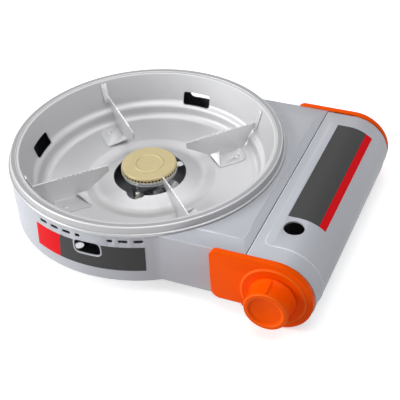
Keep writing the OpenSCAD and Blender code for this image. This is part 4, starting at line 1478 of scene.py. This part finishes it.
@dataclass
class DrumLabel:
    """The printed plate round the drum: its ends lean and it clears the sight window."""

    radius: float = DRUM_RADIUS
    thick: float = 0.3
    low: float = 13.0
    high: float = 41.9
    left: float = -114.9
    right: float = -66.2
    lean_left: float = 0.7
    lean_right: float = 0.22
    window: tuple[float, float, float, float] = (-89.0, 35.9, 30.7, 18.4)
    corner: float = 6.3
    spare: float = 2.0
    cut_deep: float = 12.0
    cut_wide: float = 4.0

    def spot(self, angle: float, radius: float, z: float) -> Vector:
        """A point round the drum, in degrees and millimetres."""
        t = math.radians(angle)
        return at(radius * math.cos(t), radius * math.sin(t), z)

    def trim(self, angle: float, lean: float, side: int) -> Piece:
        """A cutter beyond one leaning end.

        Args:
            angle: where the end is, in degrees.
            lean: how far its top and foot stand from that, in degrees.
            side: 1 at the right end, -1 at the left.

        Returns:
            The cutter.
        """
        edge = [(angle - lean, self.low - 1), (angle + lean, self.high + 1),
                (angle + self.cut_wide * side, self.high + 1),
                (angle + self.cut_wide * side, self.low - 1)]
        points = [self.spot(a, self.radius - self.cut_deep / 2, z) for a, z in edge]
        t, deep = math.radians(angle), self.cut_deep * MM
        return Bench.slab("trim_cut", points, Vector((deep * math.cos(t), deep * math.sin(t), 0)))

    def build(self) -> None:
        """Sweeps the strip round the drum, trims its ends and cuts the window."""
        start, sweep = self.left - self.spare, self.right - self.left + 2 * self.spare
        inner, outer = self.radius, self.radius + self.thick
        edge = [(inner, self.low), (outer, self.low), (outer, self.high), (inner, self.high)]
        piece = Bench.fill("drum_label_film", [self.spot(start, r, z) for r, z in edge])
        bpy.ops.mesh.spin(steps=72, angle=math.radians(sweep), center=at(0, 0, 0), axis=(0, 0, -1))
        Bench.close()
        Bench.clean(piece)
        Bench.carve(piece, self.trim(self.left, self.lean_left, -1))
        Bench.carve(piece, self.trim(self.right, self.lean_right, 1))
        angle, middle, wide, high = self.window
        turn = bearing(angle)
        hole = [aside(turn, self.radius - 8, -u, middle + v)
                for u, v in oblong(wide, high, self.corner, 8)]
        Bench.carve(piece, Bench.slab("window_cut", hole, turn @ Vector((14 * MM, 0, 0))))
        mount(Bench.smooth(Bench.clean(piece), 30), DRUM_PRINT, "stove", "drum_label")


@dataclass
class LidLabel:
    """The printed plate over the lid's flat top and down its round side."""

    x: float = 174.7
    axis: Flat = BAY_AXIS
    radius: float = 38.0
    thick: float = 0.3
    low: float = 48.2
    front: float = -58.5
    back: float = 100.0

    def build(self) -> None:
        """Pulls the bent section along the lid."""
        outer, inner = self.radius + self.thick, self.radius
        over = arc(self.axis, outer, 90, self.low, 20)
        under = arc(self.axis, inner, self.low, 90, 20)
        edge = [(self.x, self.axis[1] + outer)] + over + under + [(self.x, self.axis[1] + inner)]
        piece = Bench.slab("lid_label_film", [at(x, self.front, z) for x, z in edge],
                           Vector((0, (self.back - self.front) * MM, 0)))
        mount(Bench.smooth(piece, 30), LID_PRINT, "lid", "lid_label")


# ---------------------------------------------------------------- stage


@dataclass
class Studio:
    """Floor, world, lamps and camera."""

    sensor: float = 36.0
    # The focal length is given in picture widths, each as wide as the sensor.
    focal: float = 2.564375 * sensor
    clip: Flat = (0.01, 20.0)
    azimuth: float = 25.68
    elevation: float = 38.34
    roll: float = -4.21
    distance: float = 1078.96
    target: Point = (56.23, -0.08, 0.0)
    aim: Point = (0.02, 0, 0.04)
    glow: float = 0.5
    glow_ends: Flat = (450.0, 1100.0)
    sky: float = 0.12
    air: Colour = (0.94, 0.96, 1.0)
    white: Colour = (1.0, 1.0, 1.0)
    floor_size: float = 8.0
    floor_seen: Colour = (0.93, 0.93, 0.93)
    floor_lit: Colour = (0.6, 0.6, 0.6)
    lamps: tuple[tuple[str, Point, float, float], ...] = (
        ("key", (-1.55, -1.05, 0.8), 1.2, 34), ("back", (-0.9, 1.4, 1.3), 1.2, 2),
        ("top", (0.3, -0.2, 2.0), 1.5, 20), ("right", (1.7, -0.3, 1.2), 1.2, 4))

    def camera(self) -> None:
        """The camera, turned about its own axis by the roll."""
        a, e = math.radians(self.azimuth), math.radians(self.elevation)
        back = Vector((math.cos(e) * math.sin(a), -math.cos(e) * math.cos(a), math.sin(e)))
        right = Vector((math.cos(a), math.sin(a), 0))
        up = back.cross(right)
        turn = Matrix.Rotation(math.radians(self.roll), 3, back)
        right, up = turn @ right, turn @ up
        data = bpy.data.cameras.new("camera")
        data.lens, data.sensor_width, data.sensor_fit = self.focal, self.sensor, "HORIZONTAL"
        data.clip_start, data.clip_end = self.clip
        eye = bpy.data.objects.new("camera", data)
        place = at(*self.target) + back * self.distance * MM
        facing = Matrix((right, up, back)).transposed().to_4x4()
        eye.matrix_world = Matrix.Translation(place) @ facing
        bpy.context.scene.collection.objects.link(eye)
        bpy.context.scene.camera = eye

    def lamp(self, name: str, place: Point, size: float, power: float) -> None:
        """A square soft lamp aimed at the stove's middle.

        Args:
            name: its name.
            place: where it hangs, in metres.
            size: the length of its side, in metres.
            power: its power, in watts.
        """
        data = bpy.data.lights.new(name, "AREA")
        data.shape, data.size, data.energy = "SQUARE", size, power
        lamp = bpy.data.objects.new(name, data)
        lamp.location = place
        lamp.rotation_euler = (Vector(self.aim) - Vector(place)).to_track_quat("-Z", "Y").to_euler()
        bpy.context.scene.collection.objects.link(lamp)

    def world(self) -> None:
        """White where the camera sees it, a plain soft grey where it lights."""
        world = bpy.data.worlds.new("studio")
        bpy.context.scene.world = world
        world.use_nodes = True
        tree = Tree(world.node_tree)
        light = tree.node("ShaderNodeBackground", {}, {0: self.air, 1: self.sky})[0]
        seen = tree.node("ShaderNodeBackground", {}, {0: self.white, 1: 1.0})[0]
        tree.show(tree.tree.nodes.new("ShaderNodeOutputWorld"), light, seen)

    def floor(self) -> None:
        """A white floor that keeps the contact shadow."""
        Bench.clear()
        bpy.ops.mesh.primitive_plane_add(size=self.floor_size, location=(0, 0, 0))
        floor = bpy.context.object
        floor.name = "floor"
        graph = Graph("floor_white")
        grain = graph.noise(0.02, 2)
        mottle, rough = 0.99 + grain * 0.02, 0.85 + grain * 0.05
        plain = Value(graph, graph.shader.outputs[0])
        graph.finish(Base_Color=graph.tint(self.floor_lit, mottle), Roughness=rough)
        glowing = graph.principled()
        away = graph.node("ShaderNodeVectorMath", {"operation": "LENGTH"}, {0: graph.place()})[1]
        glow = graph.mix(away.step(*self.glow_ends), (self.glow,) * 3, self.white)
        graph.finish(Base_Color=graph.tint(self.floor_seen, mottle), Roughness=rough,
                     Emission_Color=glow, Emission_Strength=1.0)
        graph.show(graph.out, plain, glowing)
        floor.data.materials.append(graph.material)

    def build(self) -> None:
        """Sets the whole stage."""
        bpy.context.scene.view_settings.view_transform = "Standard"
        self.camera()
        self.world()
        self.floor()
        for lamp in self.lamps:
            self.lamp(*lamp)


# ---------------------------------------------------------------- the stove


SUPPORTS = [PanSupport(f"support_{corner}_sheet", angle, side) for corner, angle, side in (
    ("back_right", 46.8, -1), ("back_left", 136.3, 1),
    ("front_left", 224.7, 1), ("front_right", 316, 1))]
DRESSED = (DressedNode("casing", PAINT, "stove", 0.45), DressedNode("lid", LID_PAINT, "lid", 0.4),
           DressedNode("front_cover", ORANGE, "stove", 0.6),
           DressedNode("rear_cover", ORANGE, "stove", 0.6))
PLAIN: dict[Finish, str] = {
    ZINC: "base_plate mixing_tube burner_bracket jet_bracket electrode_bracket partition "
          "front_plate rear_plate cradle regulator_dome magnet_yoke",
    SCREW: "base_screws foot_screws bracket_screws electrode_pin plate_screws regulator_screws "
           "valve_pin knob_spindle cover_screws hinge_rod",
    JET_BRASS: "gas_jet spindle_gland cartridge_socket", FOOT: "feet", NICKEL: "support_rivets",
    HEAD: "burner_head", STRIP: "heat_strip", COPPER: "gas_pipe", CERAMIC: "electrode_ceramic",
    LEAD: "ignition_lead", REGULATOR: "regulator_body", MAGNET: "lock_magnets",
    SEAL: "socket_seal", BLACK: "piezo_igniter"}


def main() -> None:
    """Builds the pieces, the finishes and the stage."""
    for part in (WindRing(), Bowl(), *SUPPORTS, BurnerCap(), Knob(), DrumLabel(), LidLabel(),
                 *DRESSED):
        part.build()
    for finish, nodes in PLAIN.items():
        for node in nodes.split():
            dress(node, finish)
    Studio().build()


if __name__ == "__main__":
    main()
